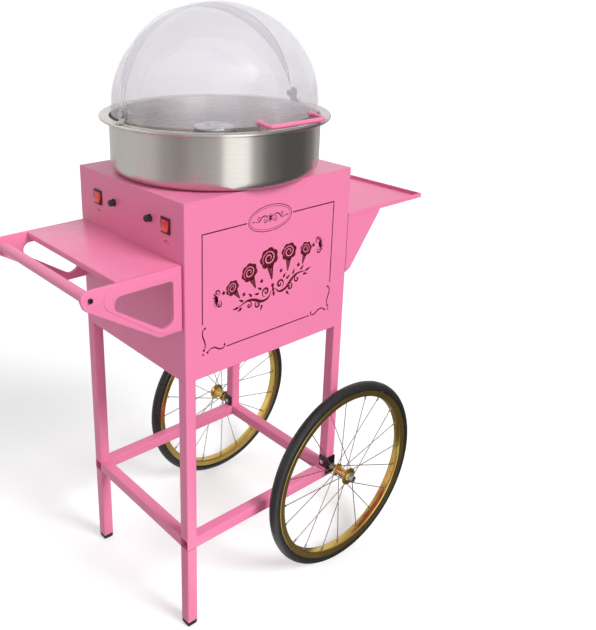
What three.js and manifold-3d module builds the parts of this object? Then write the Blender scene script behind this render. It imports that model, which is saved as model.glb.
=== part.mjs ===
// A cotton candy cart: a sheet-steel cabinet on a square-tube frame, a spun-sugar bowl with a
// roll-top dome on top, a work tray and push handle at one end, a shelf at the other,
// two spoked wheels, and the motor and spinner head that make the floss.
// Units are millimetres. X runs along the decorated front, Y towards the back, Z up.
// The origin is on the floor, in the middle of the cart's footprint.

import * as THREE from 'three';
import { mergeVertices } from 'three/addons/utils/BufferGeometryUtils.js';
import Module from 'manifold-3d';

const wasm = await Module();
wasm.setup();

// ---------- driving dimensions ----------
const GAP = 0.3; // clearance between touching pieces
const SHEET = 1.5; // cabinet, tray and shelf sheet
const CART_WIDTH = 443; // across the posts, along X
const CART_DEPTH = 378; // across the posts, along Y
const FOOTPRINT_SHIFT = -19; // puts the origin midway between the handle and the shelf edge

const TUBE = 25.4; // square frame tube
const TUBE_WALL = 1.5;
const RING_TOP = 229.5; // top of the lower ring of rails
const FOOT_HEIGHT = 12;

const CABINET_BOTTOM = 606;
const CABINET_TOP = 970;
const CABINET_EDGE = 3; // bend radius of the wrap's upright corners

const WHEEL_RADIUS = 233;
const WHEEL_OUT = 42; // from the cart's side to the middle of the wheel
const TYRE_WIDTH = 26;
const TYRE_DEPTH = 19;
const RIM_WIDTH = 24;
const RIM_DEPTH = 16;
const SPOKES = 20;
const SPOKE_RADIUS = 1.1;
const AXLE_RADIUS = 5;
const HUB_LENGTH = 50;

const TRAY_TOP = 851;
const TRAY_REACH = 138; // from the cabinet to the tray's free edge
const TRAY_SKIRT = 13;
const ARM_THICK = 8;
const ARM_INSET = 6; // the arm's outer face behind the cabinet's face
const HANDLE_REACH = 196; // from the cabinet to the handle's axis
const HANDLE_Z = 834;
const HANDLE_RADIUS = 11;
const NOSE_RADIUS = 14.5;

const SHELF_REACH = 252;
const SHELF_TOP = 869; // top of the shelf's lip
const SHELF_LIP = 10;
const GUSSET_REACH = 104;
const GUSSET_DROP = 128;

const SWITCH_WIDTH = 29;
const SWITCH_HEIGHT = 32;
const SWITCH_Z = 916;
const SWITCH_THROW = 8; // degrees either side of the middle
const FUSE_Z = 918;
const CONTROL_PLACES = {
  front: { switchY: -132, fuseY: -79 },
  rear: { switchY: 113, fuseY: 51 },
};

const BOWL_WALL = 1.2;
const BOWL_RADIUS = 220; // outside of the upright wall
const BOWL_FLAT = 198; // radius of the flat bottom
const BOWL_HOLE = 52;
const BOWL_TOP = 1088; // top of the flange
const FLANGE_RADIUS = 241;
const BOWL_LIFT = GAP;

const DOME_Z = 1106; // height of the dome's turning axis
const DOME_HALF = 225; // half length along the axis
const DOME_RADIUS = 204; // radius about the axis
const DOME_SKIN = 2.6;
const DOME_STEP = 4.4; // the back shell is this much smaller all round
const DOME_FLOOR = 1092; // height of the shells' bottom edge
const FRONT_SEAM = 109.5; // degrees up from the front, back edge of the front shell
const REAR_SEAM = 95; // front edge of the back shell
const HANDLE_SHIFT = 20; // middle of the dome's handle, to the right of the dome's middle

const HEAD_RADIUS = 44; // spinner head
const HEAD_TOP = 1060;
const SHAFT_RADIUS = 6;
const NECK_RADIUS = 22;

const HALF_W = CART_WIDTH / 2;
const HALF_D = CART_DEPTH / 2;
const SIDES = [
  { side: -1, end: 'front' },
  { side: 1, end: 'rear' },
];

// ---------- materials ----------
function material(color, roughness, metalness) {
  return new THREE.MeshStandardMaterial({ color, roughness, metalness });
}

const pinkPaint = material('#f48fb8', 0.32, 0.0);
const brushedSteel = material('#c9cacc', 0.3, 1.0);
const zincSteel = material('#a7aaae', 0.35, 1.0);
const goldPlate = material('#c79a34', 0.28, 1.0);
const blackRubber = material('#17171a', 0.75, 0.0);
const blackPlastic = material('#141416', 0.4, 0.0);
const redPlastic = material('#d3181c', 0.3, 0.0);
const darkSteel = material('#3c3a3c', 0.5, 0.9);
const clearPlastic = new THREE.MeshStandardMaterial({
  color: '#efe6f4',
  roughness: 0.06,
  metalness: 0.0,
  transparent: true,
  opacity: 0.28,
});

// ---------- solids ----------
const cart = new THREE.Group();

// Turns a closed three.js geometry into a solid, whichever way its faces wind.
function solid(geometry) {
  const bare = geometry.index ? geometry.toNonIndexed() : geometry.clone();
  bare.deleteAttribute('normal');
  bare.deleteAttribute('uv');
  const merged = mergeVertices(bare, 1e-3);
  const points = merged.attributes.position.array;
  const corners = merged.index.array;
  const kept = [];
  for (let i = 0; i < corners.length; i += 3) {
    const [a, b, c] = [corners[i], corners[i + 1], corners[i + 2]];
    if (a !== b && b !== c && c !== a) {
      kept.push(a, b, c);
    }
  }
  const at = (i) => new THREE.Vector3().fromArray(points, 3 * i);
  let volume = 0;
  for (let i = 0; i < kept.length; i += 3) {
    volume += at(kept[i]).dot(at(kept[i + 1]).cross(at(kept[i + 2])));
  }
  const outward = volume > 0 ? kept : kept.reverse();
  return new wasm.Manifold(
    new wasm.Mesh({
      numProp: 3,
      vertProperties: new Float32Array(points),
      triVerts: new Uint32Array(outward),
    }),
  );
}

function geometryOf(body) {
  const made = body.getMesh();
  const geometry = new THREE.BufferGeometry();
  geometry.setAttribute('position', new THREE.BufferAttribute(made.vertProperties, 3));
  geometry.setIndex(new THREE.BufferAttribute(made.triVerts, 1));
  geometry.computeVertexNormals();
  return geometry;
}

function addPiece(parent, name, body, look) {
  const mesh = new THREE.Mesh(geometryOf(body), look);
  mesh.name = name;
  parent.add(mesh);
  return mesh;
}

function join(bodies) {
  return bodies.reduce((whole, body) => whole.add(body));
}

function cut(body, tools) {
  return tools.reduce((whole, tool) => whole.subtract(tool), body);
}

// A box given by its low and high corners.
function block(low, high) {
  const size = high.map((value, i) => value - low[i]);
  const geometry = new THREE.BoxGeometry(...size);
  geometry.translate(...high.map((value, i) => (value + low[i]) / 2));
  return solid(geometry);
}

// A cylinder from one end to the other along an axis: 'x', 'y' or 'z'.
function rod(axis, radius, from, to, centre, sides = 16) {
  const geometry = new THREE.CylinderGeometry(radius, radius, to - from, sides);
  geometry.rotateY(Math.PI / sides);
  geometry.translate(0, (from + to) / 2, 0);
  if (axis === 'x') geometry.rotateZ(-Math.PI / 2);
  if (axis === 'z') geometry.rotateX(Math.PI / 2);
  const [u, v] = centre;
  const place = { x: [0, u, v], y: [u, 0, v], z: [u, v, 0] }[axis];
  geometry.translate(...place);
  return solid(geometry);
}

// A profile of [radius, height] points turned about the Z axis.
function turned(profile, sides = 32) {
  const points = profile.map(([radius, height]) => new THREE.Vector2(radius, height));
  const closed = points[0].x > 0 ? [...points, points[0].clone()] : points;
  const geometry = new THREE.LatheGeometry(closed, sides);
  geometry.rotateX(Math.PI / 2);
  return solid(geometry);
}

// The same, lying along Y: heights become distances along Y.
function turnedAlongY(profile, sides = 32) {
  const points = profile.map(([radius, along]) => new THREE.Vector2(radius, along));
  const closed = points[0].x > 0 ? [...points, points[0].clone()] : points;
  return solid(new THREE.LatheGeometry(closed, sides));
}

// A flat outline in X and Z, given thickness along Y between two values.
function plateXZ(outline, yLow, yHigh, curveSegments = 3) {
  const geometry = new THREE.ExtrudeGeometry(outline, {
    depth: yHigh - yLow,
    bevelEnabled: false,
    curveSegments,
  });
  geometry.rotateX(Math.PI / 2);
  geometry.translate(0, yHigh, 0);
  return solid(geometry);
}

// A flat outline in X and Y, given thickness along Z.
function plateXY(outline, zLow, zHigh, curveSegments = 3) {
  const geometry = new THREE.ExtrudeGeometry(outline, {
    depth: zHigh - zLow,
    bevelEnabled: false,
    curveSegments,
  });
  geometry.translate(0, 0, zLow);
  return solid(geometry);
}

function outlineOf(points) {
  return new THREE.Shape(points.map(([u, v]) => new THREE.Vector2(u, v)));
}

// An outline with its corners rounded: each point is [u, v, radius].
function roundedOutline(points) {
  const shape = new THREE.Shape();
  points.forEach(([u, v, radius], i) => {
    const here = new THREE.Vector2(u, v);
    const before = points[(i + points.length - 1) % points.length];
    const after = points[(i + 1) % points.length];
    const towards = (other) => {
      const away = new THREE.Vector2(other[0], other[1]).sub(here);
      return away.normalize();
    };
    const inward = towards(before);
    const outward = towards(after);
    const half = inward.angleTo(outward) / 2;
    const reach = radius / Math.tan(half);
    const start = here.clone().addScaledVector(inward, reach);
    const finish = here.clone().addScaledVector(outward, reach);
    const centre = here
      .clone()
      .addScaledVector(inward.clone().add(outward).normalize(), radius / Math.sin(half));
    const from = Math.atan2(start.y - centre.y, start.x - centre.x);
    const to = Math.atan2(finish.y - centre.y, finish.x - centre.x);
    const turnsLeft = inward.x * outward.y - inward.y * outward.x < 0;
    if (i === 0) shape.moveTo(start.x, start.y);
    else shape.lineTo(start.x, start.y);
    shape.absarc(centre.x, centre.y, radius, from, to, !turnsLeft);
  });
  shape.closePath();
  return shape;
}

function roundedRectangle(width, depth, radius) {
  const [u, v] = [width / 2, depth / 2];
  return roundedOutline([
    [-u, -v, radius],
    [u, -v, radius],
    [u, v, radius],
    [-u, v, radius],
  ]);
}

// ---------- frame ----------
function squareTube(axis, from, to, centre) {
  const half = TUBE / 2;
  const inner = half - TUBE_WALL;
  const [u, v] = centre;
  const corners = (reach, start, end) => {
    const low = { x: [start, u - reach, v - reach], y: [u - reach, start, v - reach] };
    const high = { x: [end, u + reach, v + reach], y: [u + reach, end, v + reach] };
    low.z = [u - reach, v - reach, start];
    high.z = [u + reach, v + reach, end];
    return [low[axis], high[axis]];
  };
  const outside = block(...corners(half, from, to));
  return outside.subtract(block(...corners(inner, from - 1, to + 1)));
}

const POST_X = HALF_W - TUBE / 2;
const POST_Y = HALF_D - TUBE / 2;

function addFrame() {
  const ringMiddle = RING_TOP - TUBE / 2;
  for (const { side, end } of SIDES) {
    addPiece(
      cart,
      `rail_${end}`,
      squareTube('x', -HALF_W, HALF_W, [side * POST_Y, ringMiddle]),
      pinkPaint,
    );
    for (const [xSide, xEnd] of [[-1, 'left'], [1, 'right']]) {
      const place = [xSide * POST_X, side * POST_Y];
      const post = squareTube('z', RING_TOP + GAP, CABINET_BOTTOM - GAP, place);
      addPiece(cart, `post_${end}_${xEnd}`, post, pinkPaint);
    }
    const legTop = RING_TOP - TUBE - GAP;
    const legPlace = [-POST_X, side * POST_Y];
    const leg = squareTube('z', FOOT_HEIGHT + GAP, legTop, legPlace);
    addPiece(cart, `leg_${end}`, leg, pinkPaint);
    addFoot(end, legPlace);
  }
  for (const [xSide, xEnd] of [[-1, 'left'], [1, 'right']]) {
    const reach = HALF_D - TUBE - GAP;
    const rail = squareTube('y', -reach, reach, [xSide * POST_X, ringMiddle]);
    addPiece(cart, `rail_${xEnd}`, rail, pinkPaint);
  }
}

// A rubber foot: a square pad with a plug that goes up inside the leg.
function addFoot(end, place) {
  const plugReach = TUBE / 2 - TUBE_WALL - GAP;
  const bottom = new THREE.ExtrudeGeometry(roundedRectangle(TUBE - 4, TUBE - 4, 4), {
    depth: FOOT_HEIGHT - 4,
    bevelEnabled: true,
    bevelThickness: 2,
    bevelSize: 1.8,
    bevelSegments: 1,
    curveSegments: 1,
  });
  bottom.translate(0, 0, 2);
  const plug = block([-plugReach, -plugReach, FOOT_HEIGHT - 2], [plugReach, plugReach, 30]);
  const foot = addPiece(cart, `foot_${end}`, join([solid(bottom), plug]), blackRubber);
  foot.position.set(place[0], place[1], 0);
}

// ---------- cabinet ----------
function addCabinet() {
  const outside = roundedRectangle(CART_WIDTH, CART_DEPTH, CABINET_EDGE);
  const insideWidth = CART_WIDTH - 2 * SHEET;
  const insideDepth = CART_DEPTH - 2 * SHEET;
  const inside = roundedRectangle(insideWidth, insideDepth, CABINET_EDGE - SHEET);
  const shell = plateXY(outside, CABINET_BOTTOM, CABINET_TOP, 3);
  const hollow = plateXY(inside, CABINET_BOTTOM - 1, CABINET_TOP + 1, 3);
  const holes = [...controlHoles(), ...ventHoles(), inletHole()];
  addPiece(cart, 'cabinet_wrap', cut(shell.subtract(hollow), holes), pinkPaint);

  const plate = roundedRectangle(insideWidth - 2 * GAP, insideDepth - 2 * GAP, 1);
  const deck = plateXY(plate, CABINET_TOP - SHEET, CABINET_TOP, 2);
  const neckHole = rod('z', NECK_RADIUS + 1, CABINET_TOP - 5, CABINET_TOP + 5, [0, 0], 32);
  addPiece(cart, 'cabinet_deck', deck.subtract(neckHole), pinkPaint);

  const floor = plateXY(plate, CABINET_BOTTOM, CABINET_BOTTOM + SHEET, 2);
  addPiece(cart, 'cabinet_floor', floor, pinkPaint);
}

function controlHoles() {
  const holes = [];
  for (const { switchY, fuseY } of Object.values(CONTROL_PLACES)) {
    const halfY = SWITCH_WIDTH / 2 - 1.2;
    const halfZ = SWITCH_HEIGHT / 2 - 1.2;
    holes.push(
      block(
        [-HALF_W - 5, switchY - halfY, SWITCH_Z - halfZ],
        [-HALF_W + 5, switchY + halfY, SWITCH_Z + halfZ],
      ),
    );
    holes.push(rod('x', 6.3, -HALF_W - 5, -HALF_W + 5, [fuseY, FUSE_Z], 20));
  }
  return holes;
}

const VENT = { slots: 7, width: 4, length: 70, pitch: 14, z: 860, x: -60 };

function ventHoles() {
  const holes = [];
  for (let i = 0; i < VENT.slots; i += 1) {
    const x = VENT.x + (i - (VENT.slots - 1) / 2) * VENT.pitch;
    holes.push(
      block(
        [x - VENT.width / 2, HALF_D - 5, VENT.z - VENT.length / 2],
        [x + VENT.width / 2, HALF_D + 5, VENT.z + VENT.length / 2],
      ),
    );
  }
  return holes;
}

const INLET = { x: 120, z: 650, width: 28, height: 20, flange: 5, depth: 22 };

function inletHole() {
  const [u, v] = [INLET.width / 2 + GAP, INLET.height / 2 + GAP];
  return block([INLET.x - u, HALF_D - 5, INLET.z - v], [INLET.x + u, HALF_D + 5, INLET.z + v]);
}

// The mains inlet: a flanged socket in the back wall with three pins in its recess.
function addInlet() {
  const [u, v] = [INLET.width / 2, INLET.height / 2];
  const flange = block(
    [-u - 10, HALF_D + GAP, -v - INLET.flange],
    [u + 10, HALF_D + 3, v + INLET.flange],
  );
  const body = block([-u, HALF_D - INLET.depth, -v], [u, HALF_D + 1, v]);
  const recess = block([-u + 2, HALF_D - INLET.depth + 3, -v + 2], [u - 2, HALF_D + 5, v - 2]);
  const pins = [[-7, -2], [0, 3], [7, -2]].map(([x, z]) =>
    block([x - 1, HALF_D - INLET.depth + 1, z - 2], [x + 1, HALF_D - 3, z + 2]),
  );
  const socket = cut(join([flange, body]), [recess]);
  const inlet = addPiece(cart, 'power_inlet', join([socket, ...pins]), blackPlastic);
  inlet.position.set(INLET.x, 0, INLET.z);
}

// ---------- controls on the end panel ----------
function addControls() {
  for (const [end, { switchY, fuseY }] of Object.entries(CONTROL_PLACES)) {
    const rocker = new THREE.Group();
    rocker.position.set(-HALF_W, switchY, SWITCH_Z);
    addPiece(rocker, `switch_bezel_${end}`, switchBezel(), blackPlastic);
    const paddle = addPiece(rocker, `switch_rocker_${end}`, rockerPaddle(), redPlastic);
    paddle.position.x = 2;
    paddle.rotation.y = THREE.MathUtils.degToRad(SWITCH_THROW);
    cart.add(rocker);

    const holder = new THREE.Group();
    holder.position.set(-HALF_W, fuseY, FUSE_Z);
    addPiece(holder, `fuse_body_${end}`, fuseBody(), blackPlastic);
    addPiece(holder, `fuse_cap_${end}`, fuseCap(), blackPlastic);
    cart.add(holder);
  }
}

function switchBezel() {
  const [u, v] = [SWITCH_WIDTH / 2, SWITCH_HEIGHT / 2];
  const frame = block([-2.5, -u, -v], [-GAP, u, v]);
  const body = block([-1, -u + 1.6, -v + 1.6], [20, u - 1.6, v - 1.6]);
  const window = block([-5, -u + 3.4, -v + 3.2], [16, u - 3.4, v - 3.2]);
  const vent = block([10, -3, -3], [25, 3, 3]);
  return cut(join([frame, body]), [window, vent]);
}

function rockerPaddle() {
  const halfY = SWITCH_WIDTH / 2 - 3.8;
  const profile = [
    [-7.5, -11.4],
    [-5.6, 0],
    [-7.5, 11.4],
    [3, 10],
    [8, 0],
    [3, -10],
  ];
  return plateXZ(outlineOf(profile), -halfY, halfY);
}

function fuseBody() {
  const flange = rod('x', 7.9, -2.6, -GAP, [0, 0]);
  const barrel = rod('x', 6, -1, 24, [0, 0]);
  const bore = rod('x', 4.4, -5, 20, [0, 0], 16);
  return cut(join([flange, barrel]), [bore]);
}

function fuseCap() {
  const grip = rod('x', 6.8, -12, -2.9, [0, 0], 18);
  const stem = rod('x', 3.8, -4, 12, [0, 0], 14);
  const slot = block([-13, -5, -0.8], [-10.8, 5, 0.8]);
  return cut(join([grip, stem]), [slot]);
}

// ---------- work tray and handle ----------
const ARM_OUTER = HALF_D - ARM_INSET;
const ARM_INNER = ARM_OUTER - ARM_THICK;

function addTray() {
  const root = -HALF_W - GAP;
  const tip = -HALF_W - TRAY_REACH;
  const halfY = ARM_INNER - GAP;
  const top = block([tip, -halfY, TRAY_TOP - SHEET], [root, halfY, TRAY_TOP]);
  const skirt = block([tip, -halfY, TRAY_TOP - TRAY_SKIRT], [tip + SHEET, halfY, TRAY_TOP]);
  const hem = block(
    [tip, -halfY, TRAY_TOP - TRAY_SKIRT],
    [tip + 9, halfY, TRAY_TOP - TRAY_SKIRT + SHEET],
  );
  const backFlange = block([root - SHEET, -halfY, TRAY_TOP - 16], [root, halfY, TRAY_TOP]);
  addPiece(cart, 'work_tray', join([top, skirt, hem, backFlange]), pinkPaint);
}

// The triangular side arm: flat top, rounded nose, a long slope back to a short flat foot.
function armOutline() {
  const root = -HALF_W - GAP - 2;
  const noseX = -HALF_W - HANDLE_REACH;
  return roundedOutline([
    [root, TRAY_TOP, 1.5],
    [noseX - 24, TRAY_TOP, NOSE_RADIUS],
    [noseX - 12, HANDLE_Z - 17, NOSE_RADIUS],
    [-HALF_W - 54, TRAY_TOP - 131, 5],
    [root, TRAY_TOP - 131, 1.5],
  ]);
}

function armWindow(grow) {
  return roundedOutline([
    [-HALF_W - 22 + grow, TRAY_TOP - 24 + grow, 7 + grow],
    [-HALF_W - 186 - 2 * grow, TRAY_TOP - 24 + grow, 16 + grow],
    [-HALF_W - 44, TRAY_TOP - 118 - 1.2 * grow, 12 + grow],
    [-HALF_W - 22 + grow, TRAY_TOP - 108 - grow, 10 + grow],
  ]);
}

function addHandle() {
  const noseX = -HALF_W - HANDLE_REACH;
  for (const { side, end } of SIDES) {
    const [low, high] = side < 0 ? [-ARM_OUTER, -ARM_INNER] : [ARM_INNER, ARM_OUTER];
    const plate = plateXZ(armOutline(), low, high);
    const beadAt = side < 0 ? [low - 1.2, low + 1] : [high - 1, high + 1.2];
    const bead = plateXZ(armWindow(5), ...beadAt);
    const window = plateXZ(armWindow(0), low - 5, high + 5);
    const screwHole = rod('y', 3.2, low - 5, high + 5, [noseX, HANDLE_Z], 12);
    addPiece(cart, `handle_arm_${end}`, cut(join([plate, bead]), [window, screwHole]), pinkPaint);
    addPiece(cart, `handle_screw_${end}`, handleScrew(side, noseX), zincSteel);
  }
  const reach = ARM_INNER - GAP;
  const outside = rod('y', HANDLE_RADIUS, -reach, reach, [noseX, HANDLE_Z], 20);
  const inside = rod('y', HANDLE_RADIUS - 2, -reach - 1, reach + 1, [noseX, HANDLE_Z], 20);
  addPiece(cart, 'handle_tube', outside.subtract(inside), pinkPaint);
}

// A socket screw whose end carries the plug that grips the inside of the handle tube.
function handleScrew(side, x) {
  const span = (from, to) => (side < 0 ? [-to, -from] : [from, to]);
  const place = [x, HANDLE_Z];
  const head = rod('y', 4.6, ...span(ARM_OUTER + GAP, ARM_OUTER + 4), place, 16);
  const shank = rod('y', 2.8, ...span(ARM_INNER - 20, ARM_OUTER + 1), place, 12);
  const plug = rod('y', HANDLE_RADIUS - 2.5, ...span(ARM_INNER - 24, ARM_INNER - 10), place, 16);
  const socket = rod('y', 2.3, ...span(ARM_OUTER + 1.5, ARM_OUTER + 6), place, 6);
  return cut(join([head, shank, plug]), [socket]);
}

// ---------- end shelf ----------
function addShelf() {
  const root = HALF_W + GAP;
  const tip = HALF_W + SHELF_REACH;
  const base = SHELF_TOP - SHELF_LIP;
  const tray = block([root, -HALF_D, base], [tip, HALF_D, SHELF_TOP]);
  const lip = 2.4;
  const hollow = block(
    [root - 5, -HALF_D + lip, base + SHEET],
    [tip - lip, HALF_D - lip, SHELF_TOP + 5],
  );
  const backFlange = block([root, -HALF_D + 30, base - 18], [root + SHEET, HALF_D - 30, base + 1]);
  addPiece(cart, 'end_shelf', join([tray.subtract(hollow), backFlange]), pinkPaint);

  for (const { side, end } of SIDES) {
    const top = base - GAP;
    const outline = outlineOf([
      [root, top],
      [root + GUSSET_REACH, top],
      [root + GUSSET_REACH - 3, top - 7],
      [root + 14, top - GUSSET_DROP + 6],
      [root, top - GUSSET_DROP],
    ]);
    const [low, high] = side < 0 ? [-HALF_D, -HALF_D + 3] : [HALF_D - 3, HALF_D];
    addPiece(cart, `shelf_gusset_${end}`, plateXZ(outline, low, high), pinkPaint);
  }
}

// ---------- wheels ----------
function addWheels() {
  for (const { side, end } of SIDES) {
    const wheel = new THREE.Group();
    wheel.position.set(POST_X, side * (HALF_D + WHEEL_OUT), WHEEL_RADIUS);
    wheel.rotation.z = side < 0 ? Math.PI : 0;
    addPiece(wheel, `tyre_${end}`, tyre(), blackRubber);
    addPiece(wheel, `rim_${end}`, rim(), goldPlate);
    addPiece(wheel, `hub_${end}`, hub(), goldPlate);
    addPiece(wheel, `axle_${end}`, axle(), darkSteel);
    addPiece(wheel, `axle_nut_${end}`, axleNut(), zincSteel);
    cart.add(wheel);
    addAxleBracket(side, end);
  }
}

const WHEEL_SEGMENTS = 40;
const RIM_RADIUS = WHEEL_RADIUS - TYRE_DEPTH;

// The tyre's section: a round tread on a flat bead.
function tyre() {
  const half = TYRE_WIDTH / 2;
  const profile = [[RIM_RADIUS + GAP, half - 2]];
  profile.push([RIM_RADIUS + GAP, -half + 2]);
  const steps = 4;
  for (let i = 0; i <= steps; i += 1) {
    const angle = (i / steps) * Math.PI;
    const height = RIM_RADIUS + 5 + (TYRE_DEPTH - 5) * Math.sin(angle);
    profile.push([height, -half * Math.cos(angle)]);
  }
  return turnedAlongY(profile, WHEEL_SEGMENTS);
}

// The rim's section: two raised edges and a dropped well between them.
function rim() {
  const half = RIM_WIDTH / 2;
  const bottom = RIM_RADIUS - RIM_DEPTH;
  const profile = [
    [RIM_RADIUS, -half],
    [bottom + 4, -half],
    [bottom, -half + 5],
    [bottom, half - 5],
    [bottom + 4, half],
    [RIM_RADIUS, half],
    [RIM_RADIUS - 5, half - 4],
    [RIM_RADIUS - 5, -half + 4],
  ];
  return turnedAlongY(profile, WHEEL_SEGMENTS);
}

// The hub shell with its two flanges, and the spokes that leave them crossing in pairs.
// It sits with its large flange away from the cart, along +Y.
function hub() {
  const half = HUB_LENGTH / 2;
  const bore = AXLE_RADIUS + 0.4;
  const shell = turnedAlongY(
    [
      [bore, -half],
      [9, -half],
      [9.5, -half + 4],
      [15, -half + 7],
      [15, -half + 9.5],
      [10, -half + 12],
      [10, half - 14],
      [21, half - 9],
      [21, half - 6],
      [12, half - 4],
      [10, half],
      [bore, half],
    ],
    14,
  );
  const wires = [];
  for (let i = 0; i < SPOKES; i += 1) {
    const outer = i % 2 === 0;
    const turn = (i / SPOKES) * 2 * Math.PI;
    const lead = (i % 4 < 2 ? 1 : -1) * 0.62;
    const startRadius = outer ? 19.5 : 13.5;
    const startY = outer ? half - 7.5 : -half + 8.2;
    const start = new THREE.Vector3(
      startRadius * Math.cos(turn + lead),
      startY,
      startRadius * Math.sin(turn + lead),
    );
    const endRadius = RIM_RADIUS - RIM_DEPTH - GAP - 0.6;
    const endY = outer ? 3 : -3;
    const end = new THREE.Vector3(endRadius * Math.cos(turn), endY, endRadius * Math.sin(turn));
    wires.push(wire(start, end));
  }
  return join([shell, ...wires]);
}

function wire(start, end) {
  const along = end.clone().sub(start);
  const geometry = new THREE.CylinderGeometry(SPOKE_RADIUS, SPOKE_RADIUS, along.length(), 4);
  const turn = new THREE.Quaternion().setFromUnitVectors(
    new THREE.Vector3(0, 1, 0),
    along.clone().normalize(),
  );
  geometry.applyQuaternion(turn);
  geometry.translate(...start.clone().add(end).multiplyScalar(0.5).toArray());
  return solid(geometry);
}

// The stub axle: a hexagonal flange against the bracket, a plain shaft, a thread for the nut.
function axle() {
  const inner = -WHEEL_OUT + BRACKET.sheet + 2 * GAP;
  const outer = HUB_LENGTH / 2 + 9;
  const flange = rod('y', 9, inner, inner + 6, [0, 0], 6);
  const collar = rod('y', 7, inner + 5, -HUB_LENGTH / 2 - 0.5, [0, 0], 20);
  const shaft = rod('y', AXLE_RADIUS, inner + 5, outer, [0, 0], 20);
  return join([flange, collar, shaft]);
}

function axleNut() {
  const from = HUB_LENGTH / 2 + 0.6;
  const washer = rod('y', 10.5, from, from + 1.6, [0, 0], 20);
  const nut = rod('y', 8.6, from + 1, from + 8, [0, 0], 6);
  return join([washer, nut]).subtract(rod('y', AXLE_RADIUS + 0.2, 0, from + 20, [0, 0], 20));
}

const BRACKET = { sheet: 3, width: 40, low: -20, high: 24, legLow: -3.2 };

// An angle bracket wrapped round the post: one leg carries the axle, the other takes the bolt.
function addAxleBracket(side, end) {
  const innerX = HALF_W - TUBE - GAP;
  const face = (from, to) => (side < 0 ? [-to, -from] : [from, to]);
  const [legLow, legHigh] = face(HALF_D + GAP, HALF_D + GAP + BRACKET.sheet);
  const outerLeg = block(
    [innerX - BRACKET.sheet, legLow, WHEEL_RADIUS + BRACKET.low],
    [HALF_W, legHigh, WHEEL_RADIUS + BRACKET.high],
  );
  const [wrapLow, wrapHigh] = face(HALF_D - TUBE + 4, HALF_D + GAP + BRACKET.sheet);
  const innerLeg = block(
    [innerX - BRACKET.sheet, wrapLow, WHEEL_RADIUS + BRACKET.legLow],
    [innerX, wrapHigh, WHEEL_RADIUS + BRACKET.high],
  );
  const boltPlace = [side * (HALF_D - 10), WHEEL_RADIUS + 10];
  const hole = rod('x', 3.3, innerX - 9, innerX + 2, boltPlace, 12);
  const bracket = cut(join([outerLeg, innerLeg]), [hole]);
  addPiece(cart, `axle_bracket_${end}`, bracket, darkSteel);

  const headFrom = innerX - BRACKET.sheet - GAP;
  const head = rod('x', 5.6, headFrom - 4, headFrom, boltPlace, 6);
  const shank = rod('x', 2.9, headFrom - 1, innerX, boltPlace, 12);
  addPiece(cart, `bracket_bolt_${end}`, join([head, shank]), zincSteel);
}

// ---------- bowl ----------
const BOWL_SEGMENTS = 40;

// Points round a quarter turn between two angles, in degrees.
function bend(centreR, centreZ, radius, from, to, steps) {
  const points = [];
  for (let i = 0; i <= steps; i += 1) {
    const angle = THREE.MathUtils.degToRad(from + ((to - from) * i) / steps);
    points.push([centreR + radius * Math.cos(angle), centreZ + radius * Math.sin(angle)]);
  }
  return points;
}

function bowlSolid() {
  const bottom = CABINET_TOP + BOWL_LIFT;
  const corner = BOWL_RADIUS - BOWL_FLAT;
  const neck = 4;
  const curl = 4;
  const outer = [
    [BOWL_HOLE, bottom],
    ...bend(BOWL_FLAT, bottom + corner, corner, -90, 0, 3),
    [BOWL_RADIUS, BOWL_TOP - neck - 3],
    [BOWL_RADIUS + 2, BOWL_TOP - 3],
    [FLANGE_RADIUS - curl - 2, BOWL_TOP - BOWL_WALL - 1],
    ...bend(FLANGE_RADIUS - curl, BOWL_TOP - curl, curl - BOWL_WALL, 80, -60, 2),
  ];
  const inner = [
    ...bend(FLANGE_RADIUS - curl, BOWL_TOP - curl, curl, -60, 90, 2),
    [BOWL_RADIUS + 1, BOWL_TOP - 1],
    [BOWL_RADIUS - BOWL_WALL, BOWL_TOP - neck],
    ...bend(BOWL_FLAT, bottom + corner, corner - BOWL_WALL, 0, -90, 3),
    [BOWL_HOLE, bottom + BOWL_WALL],
  ];
  return turned([...outer, ...inner], BOWL_SEGMENTS);
}

// ---------- dome ----------
const DOME_SIDES = 32;
const DOME_STEPS = 14;

// A hollow spheroid lying along X, with its pole holes left open.
function spheroidShell(halfLength, radius) {
  const poleHole = 5;
  const profile = [];
  const start = Math.asin(poleHole / radius);
  for (let i = 0; i <= DOME_STEPS; i += 1) {
    const angle = start + ((Math.PI - 2 * start) * i) / DOME_STEPS;
    profile.push([radius * Math.sin(angle), -halfLength * Math.cos(angle)]);
  }
  for (let i = DOME_STEPS; i >= 0; i -= 1) {
    const inner = radius - DOME_SKIN;
    const from = Math.asin(poleHole / inner);
    const angle = from + ((Math.PI - 2 * from) * i) / DOME_STEPS;
    profile.push([inner * Math.sin(angle), -(halfLength - DOME_SKIN) * Math.cos(angle)]);
  }
  const points = [...profile, profile[0]].map(([r, along]) => new THREE.Vector2(r, along));
  const geometry = new THREE.LatheGeometry(points, DOME_SIDES);
  geometry.rotateZ(-Math.PI / 2);
  return solid(geometry);
}

// A big slab that removes everything on one side of a plane through the turning axis.
// The plane rises from the front by the angle given; the slab lies behind it or in front of it.
function seamCutter(angle, behind) {
  const big = 300;
  const geometry = new THREE.BoxGeometry(2 * big, 2 * big, big);
  geometry.translate(0, 0, behind ? big / 2 : -big / 2);
  geometry.rotateX(THREE.MathUtils.degToRad(-angle));
  return solid(geometry);
}

function floorCutter() {
  return block([-300, -300, -400], [300, 300, DOME_FLOOR - DOME_Z]);
}

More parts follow.
